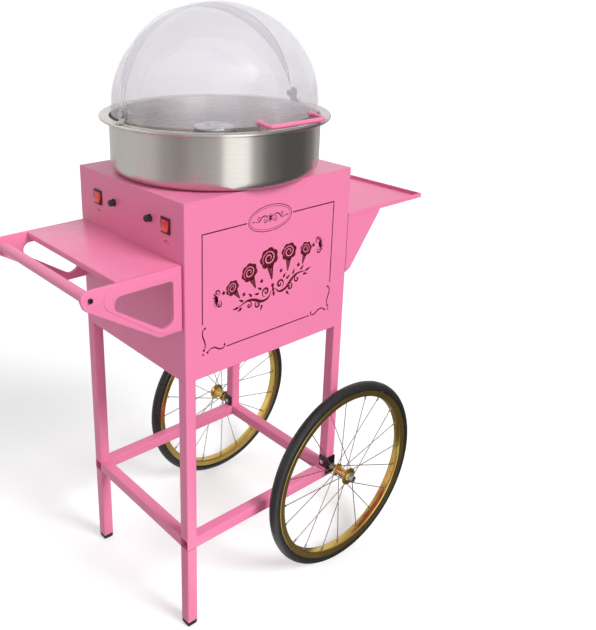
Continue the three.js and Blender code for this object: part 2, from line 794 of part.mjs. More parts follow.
function addDome(parent) {
  const pivot = new THREE.Group();
  pivot.position.z = DOME_Z;
  const rearShell = spheroidShell(DOME_HALF - DOME_STEP, DOME_RADIUS - DOME_STEP);
  const rear = cut(rearShell, [seamCutter(REAR_SEAM, false), floorCutter()]);
  addPiece(pivot, 'dome_rear', rear, clearPlastic);
  const frontShell = spheroidShell(DOME_HALF, DOME_RADIUS);
  const front = cut(frontShell, [seamCutter(FRONT_SEAM, true), floorCutter()]);
  addPiece(pivot, 'dome_front', front, clearPlastic);
  addPiece(pivot, 'dome_handle', domeHandle(), pinkPaint);
  for (const [side, end] of [[-1, 'left'], [1, 'right']]) {
    addPiece(pivot, `dome_pivot_${end}`, pivotBolt(side), zincSteel);
    addPiece(pivot, `dome_bracket_${end}`, pivotBracket(side), brushedSteel);
  }
  parent.add(pivot);
}

// A bolt along X through the bracket and both shells, with a thin nut inside.
function pivotBolt(side) {
  const span = (from, to) => (side < 0 ? [-to, -from] : [from, to]);
  const head = rod('x', 8, ...span(DOME_HALF + 3.4, DOME_HALF + 7), [0, 0], 20);
  const shank = rod('x', 3.6, ...span(DOME_HALF - 12, DOME_HALF + 5), [0, 0], 16);
  const nut = rod('x', 7, ...span(DOME_HALF - 14, DOME_HALF - 8.5), [0, 0], 6);
  return join([head, shank, nut]);
}

// A bracket bent from strip: a foot on the bowl's flange and an upright that holds the bolt.
function pivotBracket(side) {
  const span = (from, to) => (side < 0 ? [-to, -from] : [from, to]);
  const foot = BOWL_TOP + 0.8 - DOME_Z;
  const [uprightLow, uprightHigh] = span(DOME_HALF + 1, DOME_HALF + 3);
  const [footLow, footHigh] = span(DOME_HALF + 1, FLANGE_RADIUS - 1);
  const upright = block([uprightLow, -10, foot], [uprightHigh, 10, 2]);
  const crown = rod('x', 10, uprightLow, uprightHigh, [0, 2], 16);
  const base = block([footLow, -10, foot], [footHigh, 10, foot + 2]);
  const screw = rod('z', 3.4, foot + 1, foot + 4.2, [side * (DOME_HALF + 10), 0], 12);
  const hole = rod('x', 4, uprightLow - 3, uprightHigh + 3, [0, 0], 16);
  return cut(join([upright, crown, base, screw]), [hole]);
}

// A D-shaped pull: two short legs on the shell joined by a long bar in front of it.
function domeHandle() {
  const [left, right] = [HANDLE_SHIFT - 72, HANDLE_SHIFT + 72];
  const footZ = -7.5;
  const barY = -DOME_RADIUS - 26;
  const barZ = -11;
  const shellY = (x) =>
    -DOME_RADIUS * Math.sqrt(1 - (x / DOME_HALF) ** 2 - (footZ / DOME_RADIUS) ** 2);
  const points = [
    [left, shellY(left) - GAP - 0.2, footZ],
    [left - 1, shellY(left) - 10, footZ - 1],
    [left + 2, barY + 8, barZ],
    [left + 14, barY, barZ],
    [HANDLE_SHIFT, barY - 1, barZ],
    [right - 14, barY, barZ],
    [right - 2, barY + 8, barZ],
    [right + 1, shellY(right) - 10, footZ - 1],
    [right, shellY(right) - GAP - 0.2, footZ],
  ].map(([x, y, z]) => new THREE.Vector3(x, y, z));
  const path = new THREE.CatmullRomCurve3(points, false, 'centripetal');
  const section = new THREE.Shape();
  section.absarc(0, 0, 4.5, 0, 2 * Math.PI);
  const bar = new THREE.ExtrudeGeometry(section, {
    steps: 28,
    curveSegments: 4,
    bevelEnabled: false,
    extrudePath: path,
  });
  const clearOfShell = solid(bar).subtract(handleClearance());
  return clearOfShell;
}

// The room the front shell takes, a little larger, so the handle's feet follow its curve.
function handleClearance() {
  const geometry = new THREE.SphereGeometry(1, 32, 24);
  geometry.scale(DOME_HALF + GAP, DOME_RADIUS + GAP, DOME_RADIUS + GAP);
  return solid(geometry);
}

// ---------- motor and spinner ----------
const MOTOR = { radius: 55, bottom: 800, shoulder: 925, flangeRadius: 60 };
const NECK_TOP = 1008;

function addDrive() {
  const deckUnder = CABINET_TOP - SHEET - GAP;
  const bore = SHAFT_RADIUS + 1;
  const housing = turned(
    [
      [bore, 850],
      [0, 850],
      [0, MOTOR.bottom],
      [MOTOR.radius - 6, MOTOR.bottom],
      [MOTOR.radius, MOTOR.bottom + 6],
      [MOTOR.radius, MOTOR.shoulder - 8],
      [MOTOR.radius - 14, MOTOR.shoulder],
      [NECK_RADIUS, MOTOR.shoulder],
      [NECK_RADIUS, deckUnder - 4],
      [MOTOR.flangeRadius, deckUnder - 4],
      [MOTOR.flangeRadius, deckUnder],
      [NECK_RADIUS, deckUnder],
      [NECK_RADIUS, NECK_TOP - 3],
      [NECK_RADIUS - 3, NECK_TOP],
      [bore, NECK_TOP],
    ].reverse(),
    24,
  );
  addPiece(cart, 'motor', housing, darkSteel);

  const head = new THREE.Group();
  addPiece(head, 'drive_shaft', driveShaft(), zincSteel);
  addPiece(head, 'spinner_base', spinnerBase(), brushedSteel);
  addPiece(head, 'spinner_band', spinnerBand(), brushedSteel);
  addPiece(head, 'spinner_lid', spinnerLid(), brushedSteel);
  cart.add(head);
}

const SPINNER = { bottom: 1022, bandLow: 1036, bandHigh: 1050 };

// The shaft carries two slip rings low down and a domed nut at the top.
function driveShaft() {
  return turned(
    [
      [0, 852],
      [SHAFT_RADIUS, 852],
      [SHAFT_RADIUS, NECK_TOP + 3],
      [10, NECK_TOP + 3],
      [10, NECK_TOP + 6],
      [SHAFT_RADIUS + 1, NECK_TOP + 6],
      [SHAFT_RADIUS + 1, NECK_TOP + 8],
      [10, NECK_TOP + 8],
      [10, NECK_TOP + 11],
      [SHAFT_RADIUS, NECK_TOP + 11],
      [SHAFT_RADIUS, HEAD_TOP - 16],
      [8, HEAD_TOP - 16],
      [8, HEAD_TOP - 10],
      [5, HEAD_TOP - 6],
      [0, HEAD_TOP - 5],
    ],
    20,
  );
}

// The sugar pan: a disc with an upturned wall and a boss on the shaft.
function spinnerBase() {
  const hole = SHAFT_RADIUS + GAP;
  return turned(
    [
      [hole, SPINNER.bottom],
      [HEAD_RADIUS - 8, SPINNER.bottom],
      [HEAD_RADIUS, SPINNER.bottom + 6],
      [HEAD_RADIUS, SPINNER.bandLow - GAP],
      [HEAD_RADIUS - 3, SPINNER.bandLow - GAP],
      [HEAD_RADIUS - 3, SPINNER.bottom + 8],
      [HEAD_RADIUS - 10, SPINNER.bottom + 3],
      [14, SPINNER.bottom + 3],
      [12, SPINNER.bottom + 12],
      [hole, SPINNER.bottom + 12],
    ],
    24,
  );
}

// The heating band: a finned ring that the melted sugar leaves through.
function spinnerBand() {
  const ring = turned(
    [
      [HEAD_RADIUS - 2, SPINNER.bandLow],
      [HEAD_RADIUS + 1, SPINNER.bandLow],
      [HEAD_RADIUS + 1, SPINNER.bandHigh],
      [HEAD_RADIUS - 2, SPINNER.bandHigh],
    ],
    24,
  );
  const slits = [];
  const count = 18;
  for (let i = 0; i < count; i += 1) {
    const geometry = new THREE.BoxGeometry(12, 1.6, 9);
    geometry.translate(HEAD_RADIUS, 0, (SPINNER.bandLow + SPINNER.bandHigh) / 2);
    geometry.rotateZ(((i + 0.5) / count) * 2 * Math.PI);
    slits.push(solid(geometry));
  }
  return cut(ring, slits);
}

// The lid: a ring that slopes in to the opening that the sugar goes down.
function spinnerLid() {
  const mouth = 19;
  return turned(
    [
      [mouth, HEAD_TOP - 12],
      [mouth + 2, HEAD_TOP - 12],
      [mouth + 2, HEAD_TOP - 4],
      [HEAD_RADIUS - 3, HEAD_TOP - 5],
      [HEAD_RADIUS - 3, SPINNER.bandHigh + GAP],
      [HEAD_RADIUS, SPINNER.bandHigh + GAP],
      [HEAD_RADIUS, HEAD_TOP - 4],
      [HEAD_RADIUS - 3, HEAD_TOP - 1],
      [mouth + 2, HEAD_TOP],
      [mouth, HEAD_TOP - 2],
    ],
    24,
  );
}

// ---------- the whole cart ----------
addFrame();
addCabinet();
addInlet();
addControls();
addTray();
addHandle();
addShelf();
addWheels();
addPiece(cart, 'bowl', bowlSolid(), brushedSteel);
addDome(cart);
addDrive();
cart.position.x = FOOTPRINT_SHIFT;

export default cart;
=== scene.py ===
"""Looks of the cotton candy cart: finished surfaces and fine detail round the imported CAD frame.

The row frame is in metres: X along the decorated front, Y to the back, Z up, the origin on the
floor at the middle of the footprint. Shapes are worked out in millimetres from the cabinet's
middle and then moved to the row frame. Places come from the CAD boxes.
"""

from math import asin, atan2, copysign, cos, exp, pi, radians, sin, sqrt, tan

import bmesh
import bpy
from mathutils import Matrix, Vector


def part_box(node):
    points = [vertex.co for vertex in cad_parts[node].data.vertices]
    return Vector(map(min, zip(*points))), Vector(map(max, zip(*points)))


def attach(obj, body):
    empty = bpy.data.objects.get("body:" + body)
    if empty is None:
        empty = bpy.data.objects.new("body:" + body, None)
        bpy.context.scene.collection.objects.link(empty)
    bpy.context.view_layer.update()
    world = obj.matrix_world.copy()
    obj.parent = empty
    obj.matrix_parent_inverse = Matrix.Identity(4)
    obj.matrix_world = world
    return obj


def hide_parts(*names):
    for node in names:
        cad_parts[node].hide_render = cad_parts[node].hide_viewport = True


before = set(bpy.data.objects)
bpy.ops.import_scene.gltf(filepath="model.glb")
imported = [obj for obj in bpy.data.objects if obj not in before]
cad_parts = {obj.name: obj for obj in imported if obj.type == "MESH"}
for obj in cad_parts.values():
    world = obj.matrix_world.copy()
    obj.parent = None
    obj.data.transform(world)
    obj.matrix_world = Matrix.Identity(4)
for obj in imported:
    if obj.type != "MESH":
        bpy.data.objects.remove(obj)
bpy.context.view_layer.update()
MM = 0.001
TAU = 2 * pi

# ------------ camera
CAMERA_PLACE = (-1.0244, -1.2549, 1.3674)
CAMERA_TURN = 38.33  # degrees from +Y towards +X
CAMERA_DIP = 18.98  # degrees below the horizon
FOCAL_LENGTH = 44.12  # for a long side of 36 mm
CAMERA_SHIFT = (0.1403, -0.127)


def make_camera():
    data = bpy.data.cameras.new("camera")
    data.sensor_width = 36.0
    data.lens = FOCAL_LENGTH
    data.shift_x, data.shift_y = CAMERA_SHIFT
    data.clip_end = 100.0
    camera = bpy.data.objects.new("camera", data)
    camera.location = CAMERA_PLACE
    tilt = radians(90 - CAMERA_DIP)
    camera.rotation_euler = (tilt, 0.0, -radians(CAMERA_TURN))
    bpy.context.collection.objects.link(camera)
    bpy.context.scene.camera = camera


# ------------ light and floor
# Azimuth in degrees from +X towards +Y, then the strength of the light from there.
SURROUNDINGS = [
    (-180, 0.60), (-166, 0.50), (-146, 0.70), (-124, 0.85), (-116, 1.95), (-96, 2.05),
    (-86, 0.75), (-70, 0.28), (-48, 0.17), (-22, 0.17), (-4, 0.30), (16, 0.75), (100, 0.95),
    (140, 1.0), (160, 0.95), (180, 0.60),
]
OVERHEAD = 0.5
SEEN_WHITE = 1.0
KEY_ENERGY = 2.75
KEY_AIM = (-0.25, 1.0, -0.85)
KEY_SPREAD = 24  # degrees across the key light, which softens its shadows
HORIZON_GLOW = (0.45, 0.9)  # heights, seen upwards, between which the overhead light takes over
FLOOR_SEEN = (0.66, 0.66, 0.66)
FLOOR_LIFT = 0.38  # glow that keeps the seen floor white
FLOOR_LIGHTING = (0.43, 0.42, 0.42)  # the floor as it lights the cart from below
FLOOR_SHINE = 0.62  # share of the surroundings that the floor shows in metal
FLOOR_REACH = 60.0
FLOOR_DROP = 0.0002  # keeps the floor clear of the tyres and feet that stand on it
WHITE = (1.0, 1.0, 1.0, 1.0)
MIX_FIRST, MIX_SECOND, MIXED = 6, 7, 2  # colour sockets of a Mix node


def add_node(tree, kind, inputs=None, **settings):
    """A new node. Its inputs are named with a value each, or with the socket that feeds them."""
    made = tree.nodes.new("ShaderNode" + kind)
    for key, value in settings.items():
        setattr(made, key, value)
    for socket, value in (inputs or {}).items():
        if isinstance(value, bpy.types.NodeSocket):
            tree.links.new(value, made.inputs[socket])
        else:
            made.inputs[socket].default_value = value
    return made


def opaque(colour):
    return (*colour, 1.0)


BRIGHTEST = max(value for _, value in SURROUNDINGS)


def light_round(tree, place):
    """The share of the brightest surroundings towards a place, as a colour, and its height."""
    parts = add_node(tree, "SeparateXYZ", {0: place})
    sides = {0: parts.outputs["Y"], 1: parts.outputs["X"]}
    azimuth = add_node(tree, "Math", sides, operation="ARCTAN2").outputs[0]
    whole = {"From Min": -pi, "From Max": pi, "Value": azimuth}
    ramp = add_node(tree, "ValToRGB", {0: add_node(tree, "MapRange", whole).outputs[0]})
    ramp.color_ramp.interpolation = "EASE"
    stops = ramp.color_ramp.elements
    while len(stops) < len(SURROUNDINGS):
        stops.new(1.0)
    for stop, (degrees, value) in zip(stops, SURROUNDINGS):
        stop.position = (degrees + 180) / 360
        stop.color = opaque((value / BRIGHTEST,) * 3)
    return ramp.outputs[0], parts.outputs["Z"]


def seen_share(tree):
    """One for what the camera sees, straight or through the dome, and zero for other light."""
    path = add_node(tree, "LightPath").outputs
    ways = {0: path["Is Camera Ray"], 1: path["Is Transmission Ray"]}
    return add_node(tree, "Math", ways, operation="MAXIMUM").outputs[0]


def make_world():
    """White surroundings as seen, with uneven light from them as in a studio."""
    world = bpy.data.worlds.new("studio")
    world.use_nodes = True
    tree = world.node_tree
    seen = tree.nodes["Background"]
    seen.inputs["Color"].default_value = WHITE
    seen.inputs["Strength"].default_value = SEEN_WHITE
    low, height = light_round(tree, add_node(tree, "TexCoord").outputs["Generated"])
    rise = {"From Min": HORIZON_GLOW[0], "From Max": HORIZON_GLOW[1], "Value": height}
    share = add_node(tree, "MapRange", rise, interpolation_type="SMOOTHSTEP").outputs[0]
    halves = {0: share, MIX_FIRST: low, MIX_SECOND: opaque((OVERHEAD / BRIGHTEST,) * 3)}
    blend = add_node(tree, "Mix", halves, data_type="RGBA")
    light = {"Color": blend.outputs[MIXED], "Strength": BRIGHTEST}
    glow = add_node(tree, "Background", light)
    ways = {0: seen_share(tree), 1: glow.outputs[0], 2: seen.outputs[0]}
    mix = add_node(tree, "MixShader", ways)
    tree.links.new(mix.outputs[0], tree.nodes["World Output"].inputs[0])
    bpy.context.scene.world = world
    bpy.context.scene.view_settings.view_transform = "Standard"


def make_key():
    """One large soft light from the front, above and a little to the right."""
    data = bpy.data.lights.new("key", "SUN")
    data.energy = KEY_ENERGY
    data.angle = radians(KEY_SPREAD)
    key = bpy.data.objects.new("key", data)
    key.rotation_euler = Vector(KEY_AIM).to_track_quat("-Z", "Y").to_euler()
    key.visible_glossy = False
    bpy.context.collection.objects.link(key)


def make_floor():
    """A white floor, which shines back in metal as unevenly as the surroundings do."""
    mesh = bpy.data.meshes.new("floor")
    signs = ((-1, -1), (1, -1), (1, 1), (-1, 1))
    corners = [(x * FLOOR_REACH, y * FLOOR_REACH, 0) for x, y in signs]
    mesh.from_pydata(corners, [], [(0, 1, 2, 3)])
    floor = bpy.data.objects.new("floor", mesh)
    floor.location.z = -FLOOR_DROP
    bpy.context.collection.objects.link(floor)
    look = bpy.data.materials.new("floor")
    look.use_nodes = True
    tree = look.node_tree
    link = tree.links.new
    shader = tree.nodes["Principled BSDF"]
    shader.inputs["Roughness"].default_value = 0.8
    shader.inputs["Emission Color"].default_value = WHITE
    seen = seen_share(tree)
    tones = {0: seen, MIX_FIRST: opaque(FLOOR_LIGHTING), MIX_SECOND: opaque(FLOOR_SEEN)}
    colour = add_node(tree, "Mix", tones, data_type="RGBA")
    link(colour.outputs[MIXED], shader.inputs["Base Color"])
    lift = add_node(tree, "Math", {0: seen, 1: FLOOR_LIFT}, operation="MULTIPLY")
    link(lift.outputs[0], shader.inputs["Emission Strength"])
    shine, _ = light_round(tree, add_node(tree, "TexCoord").outputs["Object"])
    glow = add_node(tree, "Emission", {"Color": shine, "Strength": BRIGHTEST * FLOOR_SHINE})
    glossy = add_node(tree, "LightPath").outputs["Is Glossy Ray"]
    mix = add_node(tree, "MixShader", {0: glossy, 1: shader.outputs[0], 2: glow.outputs[0]})
    link(mix.outputs[0], tree.nodes["Material Output"].inputs[0])
    mesh.materials.append(look)


make_camera()
make_world()
make_key()
make_floor()


# ------------ materials
BRUSH_FINE = 1500.0  # brushing lines to a metre, across them
BRUSH_ROUND = 2.2  # changes along a line, to a radian


class Look:
    """A Principled material that is built up node by node."""

    def __init__(self, name, slot, colour, roughness, metallic=0.0, **uniform):
        self.material = bpy.data.materials.new(name)
        self.material.use_nodes = True
        self.slot = slot
        self.tree = self.material.node_tree
        self.shader = self.tree.nodes["Principled BSDF"]
        self.colour = colour
        self.roughness = roughness
        self.set("Base Color", opaque(colour))
        self.set("Roughness", roughness)
        self.set("Metallic", metallic)
        for socket, value in uniform.items():
            self.set(socket.replace("_", " "), value)
        self.place = self.node("TexCoord").outputs["Object"]
        self.toned = None

    def set(self, socket, value):
        self.shader.inputs[socket].default_value = value

    def node(self, kind, inputs=None, **settings):
        return add_node(self.tree, kind, inputs, **settings)

    def link(self, source, socket):
        self.tree.links.new(source, self.shader.inputs[socket])

    def math(self, operation, *values):
        return self.node("Math", dict(enumerate(values)), operation=operation).outputs[0]

    def noise(self, scale, detail=2.0, where=None, rough=0.5):
        inputs = {"Scale": scale, "Detail": detail, "Roughness": rough}
        return self.node("TexNoise", {**inputs, "Vector": where or self.place}).outputs["Fac"]

    def spread(self, value, low, high):
        inputs = {"From Min": 0.35, "From Max": 0.65, "To Min": low, "To Max": high}
        return self.node("MapRange", {**inputs, "Value": value}).outputs[0]

    def tone(self, value, amount, other=None):
        """Mixes the colour towards another one, or a darker one, where value is high."""
        dark = other or tuple(c * 0.8 for c in self.colour)
        tones = {MIX_FIRST: self.toned or opaque(self.colour), MIX_SECOND: opaque(dark)}
        share = {0: self.spread(value, 0.0, amount)}
        mix = self.node("Mix", {**share, **tones}, data_type="RGBA")
        self.toned = mix.outputs[MIXED]
        self.link(self.toned, "Base Color")

    def gloss(self, value, reach):
        low, high = self.roughness - reach, self.roughness + reach
        self.link(self.spread(value, low, high), "Roughness")

    def bump(self, value, depth, strength=1.0):
        """Raises the surface by a depth in millimetres where value is high."""
        inputs = {"Strength": strength, "Distance": depth * MM, "Height": value}
        self.link(self.node("Bump", inputs).outputs["Normal"], "Normal")

    def round_brushing(self, centre):
        """Fine lines that run round an upright axis, on walls and flats alike."""
        moves = {"Location": tuple(-c for c in centre), "Vector": self.place}
        moved = self.node("Mapping", moves).outputs[0]
        x, y, z = self.node("SeparateXYZ", {0: moved}).outputs
        squares = [self.math("MULTIPLY", side, side) for side in (x, y)]
        across = self.math("SQRT", self.math("ADD", *squares))
        around = self.math("ARCTAN2", y, x)
        lines = ((across, BRUSH_FINE), (around, BRUSH_ROUND), (z, BRUSH_FINE))
        scaled = [self.math("MULTIPLY", value, scale) for value, scale in lines]
        return self.node("CombineXYZ", dict(enumerate(scaled))).outputs[0]


def paint():
    look = Look("pink_powder_coat", "pink_paint", (0.77, 0.20, 0.365), 0.33)
    look.set("Coat Weight", 0.15)
    look.set("Coat Roughness", 0.12)
    look.set("Specular IOR Level", 0.5)
    look.tone(look.noise(5.0, 2.0), 0.22, (0.74, 0.18, 0.335))
    look.gloss(look.noise(26.0, 3.0), 0.04)
    look.bump(look.noise(45.0, 1.0), 0.03, 0.25)
    return look


def brushed(name, centre, colour=(0.73, 0.69, 0.65), roughness=0.24):
    look = Look(name, "brushed_steel", colour, roughness, 1.0)
    lines = look.round_brushing(centre)
    fine = look.noise(1.0, 3.0, lines, 0.65)
    look.set("Anisotropic", 0.85)
    look.set("Anisotropic Rotation", 0.25)
    tangent = look.node("Tangent", direction_type="RADIAL", axis="Z")
    look.link(tangent.outputs[0], "Tangent")
    look.tone(fine, 0.35, tuple(c * 0.72 for c in colour))
    look.tone(look.noise(9.0, 4.0), 0.10, (0.60, 0.55, 0.50))
    look.gloss(fine, 0.07)
    look.bump(fine, 0.02, 0.45)
    return look


def metal(name, slot, colour, roughness, scratch=0.35, blotch=None, scale=40.0):
    look = Look(name, slot, colour, roughness, 1.0)
    look.tone(look.noise(scale, 4.0), 0.4, blotch)
    look.gloss(look.noise(scale * 2.5, 3.0), roughness * 0.3)
    look.bump(look.noise(900.0, 2.0), 0.02, scratch)
    return look


def plastic(name, slot, colour, roughness, grain=0.03, scale=1500.0, **uniform):
    look = Look(name, slot, colour, roughness, 0.0, **uniform)
    look.tone(look.noise(60.0, 3.0), 0.5, tuple(min(1.0, c * 1.35 + 0.004) for c in colour))
    look.gloss(look.noise(90.0, 2.0), 0.06)
    look.bump(look.noise(scale, 2.0), grain, 0.5)
    return look


def clear():
    look = Look("clear_dome", "clear_plastic", (0.86, 0.80, 0.92), 0.06)
    look.set("Transmission Weight", 0.5)
    look.set("IOR", 1.49)
    look.set("Alpha", 0.3)
    look.set("Coat Weight", 0.6)
    look.set("Coat Roughness", 0.03)
    look.tone(look.noise(3.0, 2.0), 0.6, (0.83, 0.82, 0.85))
    look.gloss(look.noise(30.0, 3.0), 0.03)
    look.bump(look.noise(14.0, 1.0), 0.25, 0.2)
    return look


def painted_highlight_edge():
    """The rim of a clear sheet, painted near white with raised alpha: a painted highlight for the
    light that runs inside it.
    """
    look = Look("clear_edge_painted_highlight", "clear_plastic", (0.97, 0.96, 0.98), 0.12)
    look.set("Alpha", 0.72)
    look.set("Coat Weight", 0.5)
    look.tone(look.noise(40.0, 2.0), 0.5, (0.84, 0.83, 0.88))
    look.gloss(look.noise(60.0, 2.0), 0.04)
    look.bump(look.noise(200.0, 2.0), 0.02, 0.3)
    return look


def tyre_rubber():
    look = plastic("tyre_black", "tyre_rubber", (0.012, 0.011, 0.011), 0.32, 0.05, 700.0)
    look.tone(look.noise(18.0, 4.0), 0.4, (0.03, 0.028, 0.026))
    return look


BOWL_AXIS = tuple((a + b) / 2 for a, b in zip(*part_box("bowl")))
GOLD = (0.80, 0.54, 0.15)
LOOKS = {
    "paint": paint(),
    "bowl": brushed("brushed_bowl", BOWL_AXIS),
    "head": brushed("brushed_head", BOWL_AXIS, (0.66, 0.67, 0.70), 0.2),
    "steel": metal("bright_steel", "brushed_steel", (0.74, 0.74, 0.73), 0.26),
    "zinc": metal("zinc_plate", "zinc_steel", (0.62, 0.63, 0.65), 0.3, 0.35, (0.42, 0.43, 0.46)),
    "spoke": metal("spoke_wire", "zinc_steel", (0.5, 0.48, 0.45), 0.28, 0.2),
    "gold": metal("gold_plate", "gold_plate", GOLD, 0.2, 0.3, (0.52, 0.33, 0.09), 24.0),
    "tyre": tyre_rubber(),
    "foot": plastic("foot_black", "foot_rubber", (0.016, 0.015, 0.015), 0.55, 0.08, 500.0),
    "black": plastic("black_moulding", "black_plastic", (0.012, 0.012, 0.013), 0.3),
    "red": plastic("red_moulding", "red_plastic", (0.70, 0.012, 0.01), 0.2, Coat_Weight=0.5),
    "ink": plastic("maroon_ink", "pink_paint", (0.085, 0.003, 0.009), 0.42, 0.01, 300.0),
    "clear": clear(),
    # edge: a near-white painted highlight for the dome's seam beads
    "edge": painted_highlight_edge(),
    "dark": metal("dark_steel", "dark_steel", (0.10, 0.08, 0.085), 0.42, 0.5, (0.05, 0.04, 0.04)),
    "iron": metal("motor_shell", "dark_steel", (0.16, 0.16, 0.17), 0.4, 0.5, (0.08, 0.08, 0.09)),
}

# ------------ places
WRAP_LOW, WRAP_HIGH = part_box("cabinet_wrap")
MIDDLE = Vector(((WRAP_LOW.x + WRAP_HIGH.x) / 2, (WRAP_LOW.y + WRAP_HIGH.y) / 2, 0.0))
TO_ROW = Matrix.Translation(MIDDLE) @ Matrix.Scale(MM, 4)
TO_MM = TO_ROW.inverted()


def spot(node):
    """A CAD node's low and high corners in millimetres from the cabinet's middle."""
    low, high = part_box(node)
    return TO_MM @ low, TO_MM @ high


def middle_of(node):
    """The middle of a CAD node's box, and half its size, in millimetres."""
    low, high = spot(node)
    middle = Vector([(a + b) / 2 for a, b in zip(low, high)])
    return middle, Vector([(b - a) / 2 for a, b in zip(low, high)])


HALF_W, HALF_D = spot("cabinet_wrap")[1][:2]
ENDS = [(-1, "front"), (1, "rear")]
XENDS = [(-1, "left"), (1, "right")]


# ------------ mesh tools
SHARP = 35  # degrees between faces from which an edge is shown sharp
BEVELLED = 32  # and from which it is broken


def make_piece(name, bm, body, look, nodes=(), sharp=SHARP, bevel=0.0, segments=2):
    """Turns a mesh in millimetres into a finished piece that rides on a body."""
    bm.transform(TO_ROW)
    bmesh.ops.recalc_face_normals(bm, faces=bm.faces)
    mesh = bpy.data.meshes.new(name)
    bm.to_mesh(mesh)
    bm.free()
    obj = bpy.data.objects.new(name, mesh)
    bpy.context.collection.objects.link(obj)
    mesh.materials.append(LOOKS[look].material)
    mesh.polygons.foreach_set("use_smooth", [True] * len(mesh.polygons))
    mesh.set_sharp_from_angle(angle=radians(sharp))
    if bevel:
        edges = obj.modifiers.new("edges", "BEVEL")
        edges.width = bevel * MM
        edges.segments = segments
        edges.limit_method = "ANGLE"
        edges.angle_limit = radians(BEVELLED)
        edges.harden_normals = True
    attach(obj, body)
    if nodes:
        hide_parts(*nodes)
    return obj


def keep_node(name, node, body, look, bevel, segments=2, sharp=SHARP):
    """A piece with a CAD node's own shape: its flat faces made whole and its edges broken."""
    bm = bmesh.new()
    bm.from_mesh(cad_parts[node].data)
    bm.transform(TO_MM)
    bmesh.ops.remove_doubles(bm, verts=bm.verts, dist=0.01)
    bmesh.ops.dissolve_limit(bm, angle_limit=radians(0.6), verts=bm.verts, edges=bm.edges)
    make_piece(name, bm, body, look, [node], sharp, bevel, segments)


def ring_about(bm, middle, across, other, radius, sides):
    """A ring of points about a middle, in the plane of the two directions."""
    ring = []
    for k in range(sides):
        angle = TAU * k / sides
        outward = across * cos(angle) + other * sin(angle)
        ring.append(bm.verts.new(middle + radius * outward))
    return ring


def rings_to_faces(bm, rings, closed):
    pairs = list(zip(rings, rings[1:]))
    if closed:
        pairs.append((rings[-1], rings[0]))
    for a, b in pairs:
        count = max(len(a), len(b))
        for k in range(count):
            after = (k + 1) % count
            if len(a) == 1 and len(b) == 1:
                continue
            if len(a) == 1:
                bm.faces.new((a[0], b[k], b[after]))
            elif len(b) == 1:
                bm.faces.new((a[k], b[0], a[after]))
            else:
                bm.faces.new((a[k], b[k], b[after], a[after]))


def close_bar(bm, rings):
    """Joins the rings of a bar and shuts its two ends."""
    rings_to_faces(bm, rings, False)
    bm.faces.new(rings[0])
    bm.faces.new(rings[-1])


TURNS = {
    "X": lambda r, angle, h: Vector((h, r * cos(angle), r * sin(angle))),
    "Y": lambda r, angle, h: Vector((r * cos(angle), h, r * sin(angle))),
    "Z": lambda r, angle, h: Vector((r * cos(angle), r * sin(angle), h)),
}


def lathe(profile, axis="Z", centre=(0, 0, 0), segments=64, wave=None):
    """Turns points of (radius, distance) about an axis. Wave changes the radius with the angle."""
    bm = bmesh.new()
    middle = Vector(centre)
    closed = min(profile[0][0], profile[-1][0]) > 1e-6
    rings = []
    for radius, along in profile:
        if radius < 1e-6:
            rings.append([bm.verts.new(middle + TURNS[axis](0, 0, along))])
            continue
        ring = []
        for k in range(segments):
            angle = TAU * k / segments
            reach = radius + (wave(radius, along, angle) if wave else 0.0)
            ring.append(bm.verts.new(middle + TURNS[axis](reach, angle, along)))
        rings.append(ring)
    rings_to_faces(bm, rings, closed)
    return bm


def oval(centre_u, centre_v, half_u, half_v, steps):
    """Points all round an oval."""
    points = []
    for k in range(steps):
        angle = TAU * k / steps
        points.append((centre_u + half_u * cos(angle), centre_v + half_v * sin(angle)))
    return points


def arc(centre_u, centre_v, radius, start, end, steps):
    """Points round part of a circle, between two angles in degrees."""
    points = []
    for i in range(steps + 1):
        angle = radians(start + (end - start) * i / steps)
        points.append((centre_u + radius * cos(angle), centre_v + radius * sin(angle)))
    return points


def rounded(corners, steps=8):
    """An outline with rounded corners: each corner is (u, v, radius)."""
    outline = []
    for i, (u, v, radius) in enumerate(corners):
        here = Vector((u, v))
        before = (Vector(corners[i - 1][:2]) - here).normalized()
        after = (Vector(corners[(i + 1) % len(corners)][:2]) - here).normalized()
        half = before.angle(after) / 2
        centre = here + (before + after).normalized() * (radius / sin(half))
        start = here + before * (radius / tan(half)) - centre
        end = here + after * (radius / tan(half)) - centre
        from_angle = atan2(start.y, start.x)
        turn = (atan2(end.y, end.x) - from_angle + pi) % TAU - pi
        for k in range(steps + 1):
            angle = from_angle + turn * k / steps
            outline.append((centre.x + radius * cos(angle), centre.y + radius * sin(angle)))
    return outline


def rounded_box(half_u, half_v, radius, steps=5):
    corners = [(-half_u, -half_v), (half_u, -half_v), (half_u, half_v), (-half_u, half_v)]
    return rounded([(u, v, radius) for u, v in corners], steps)


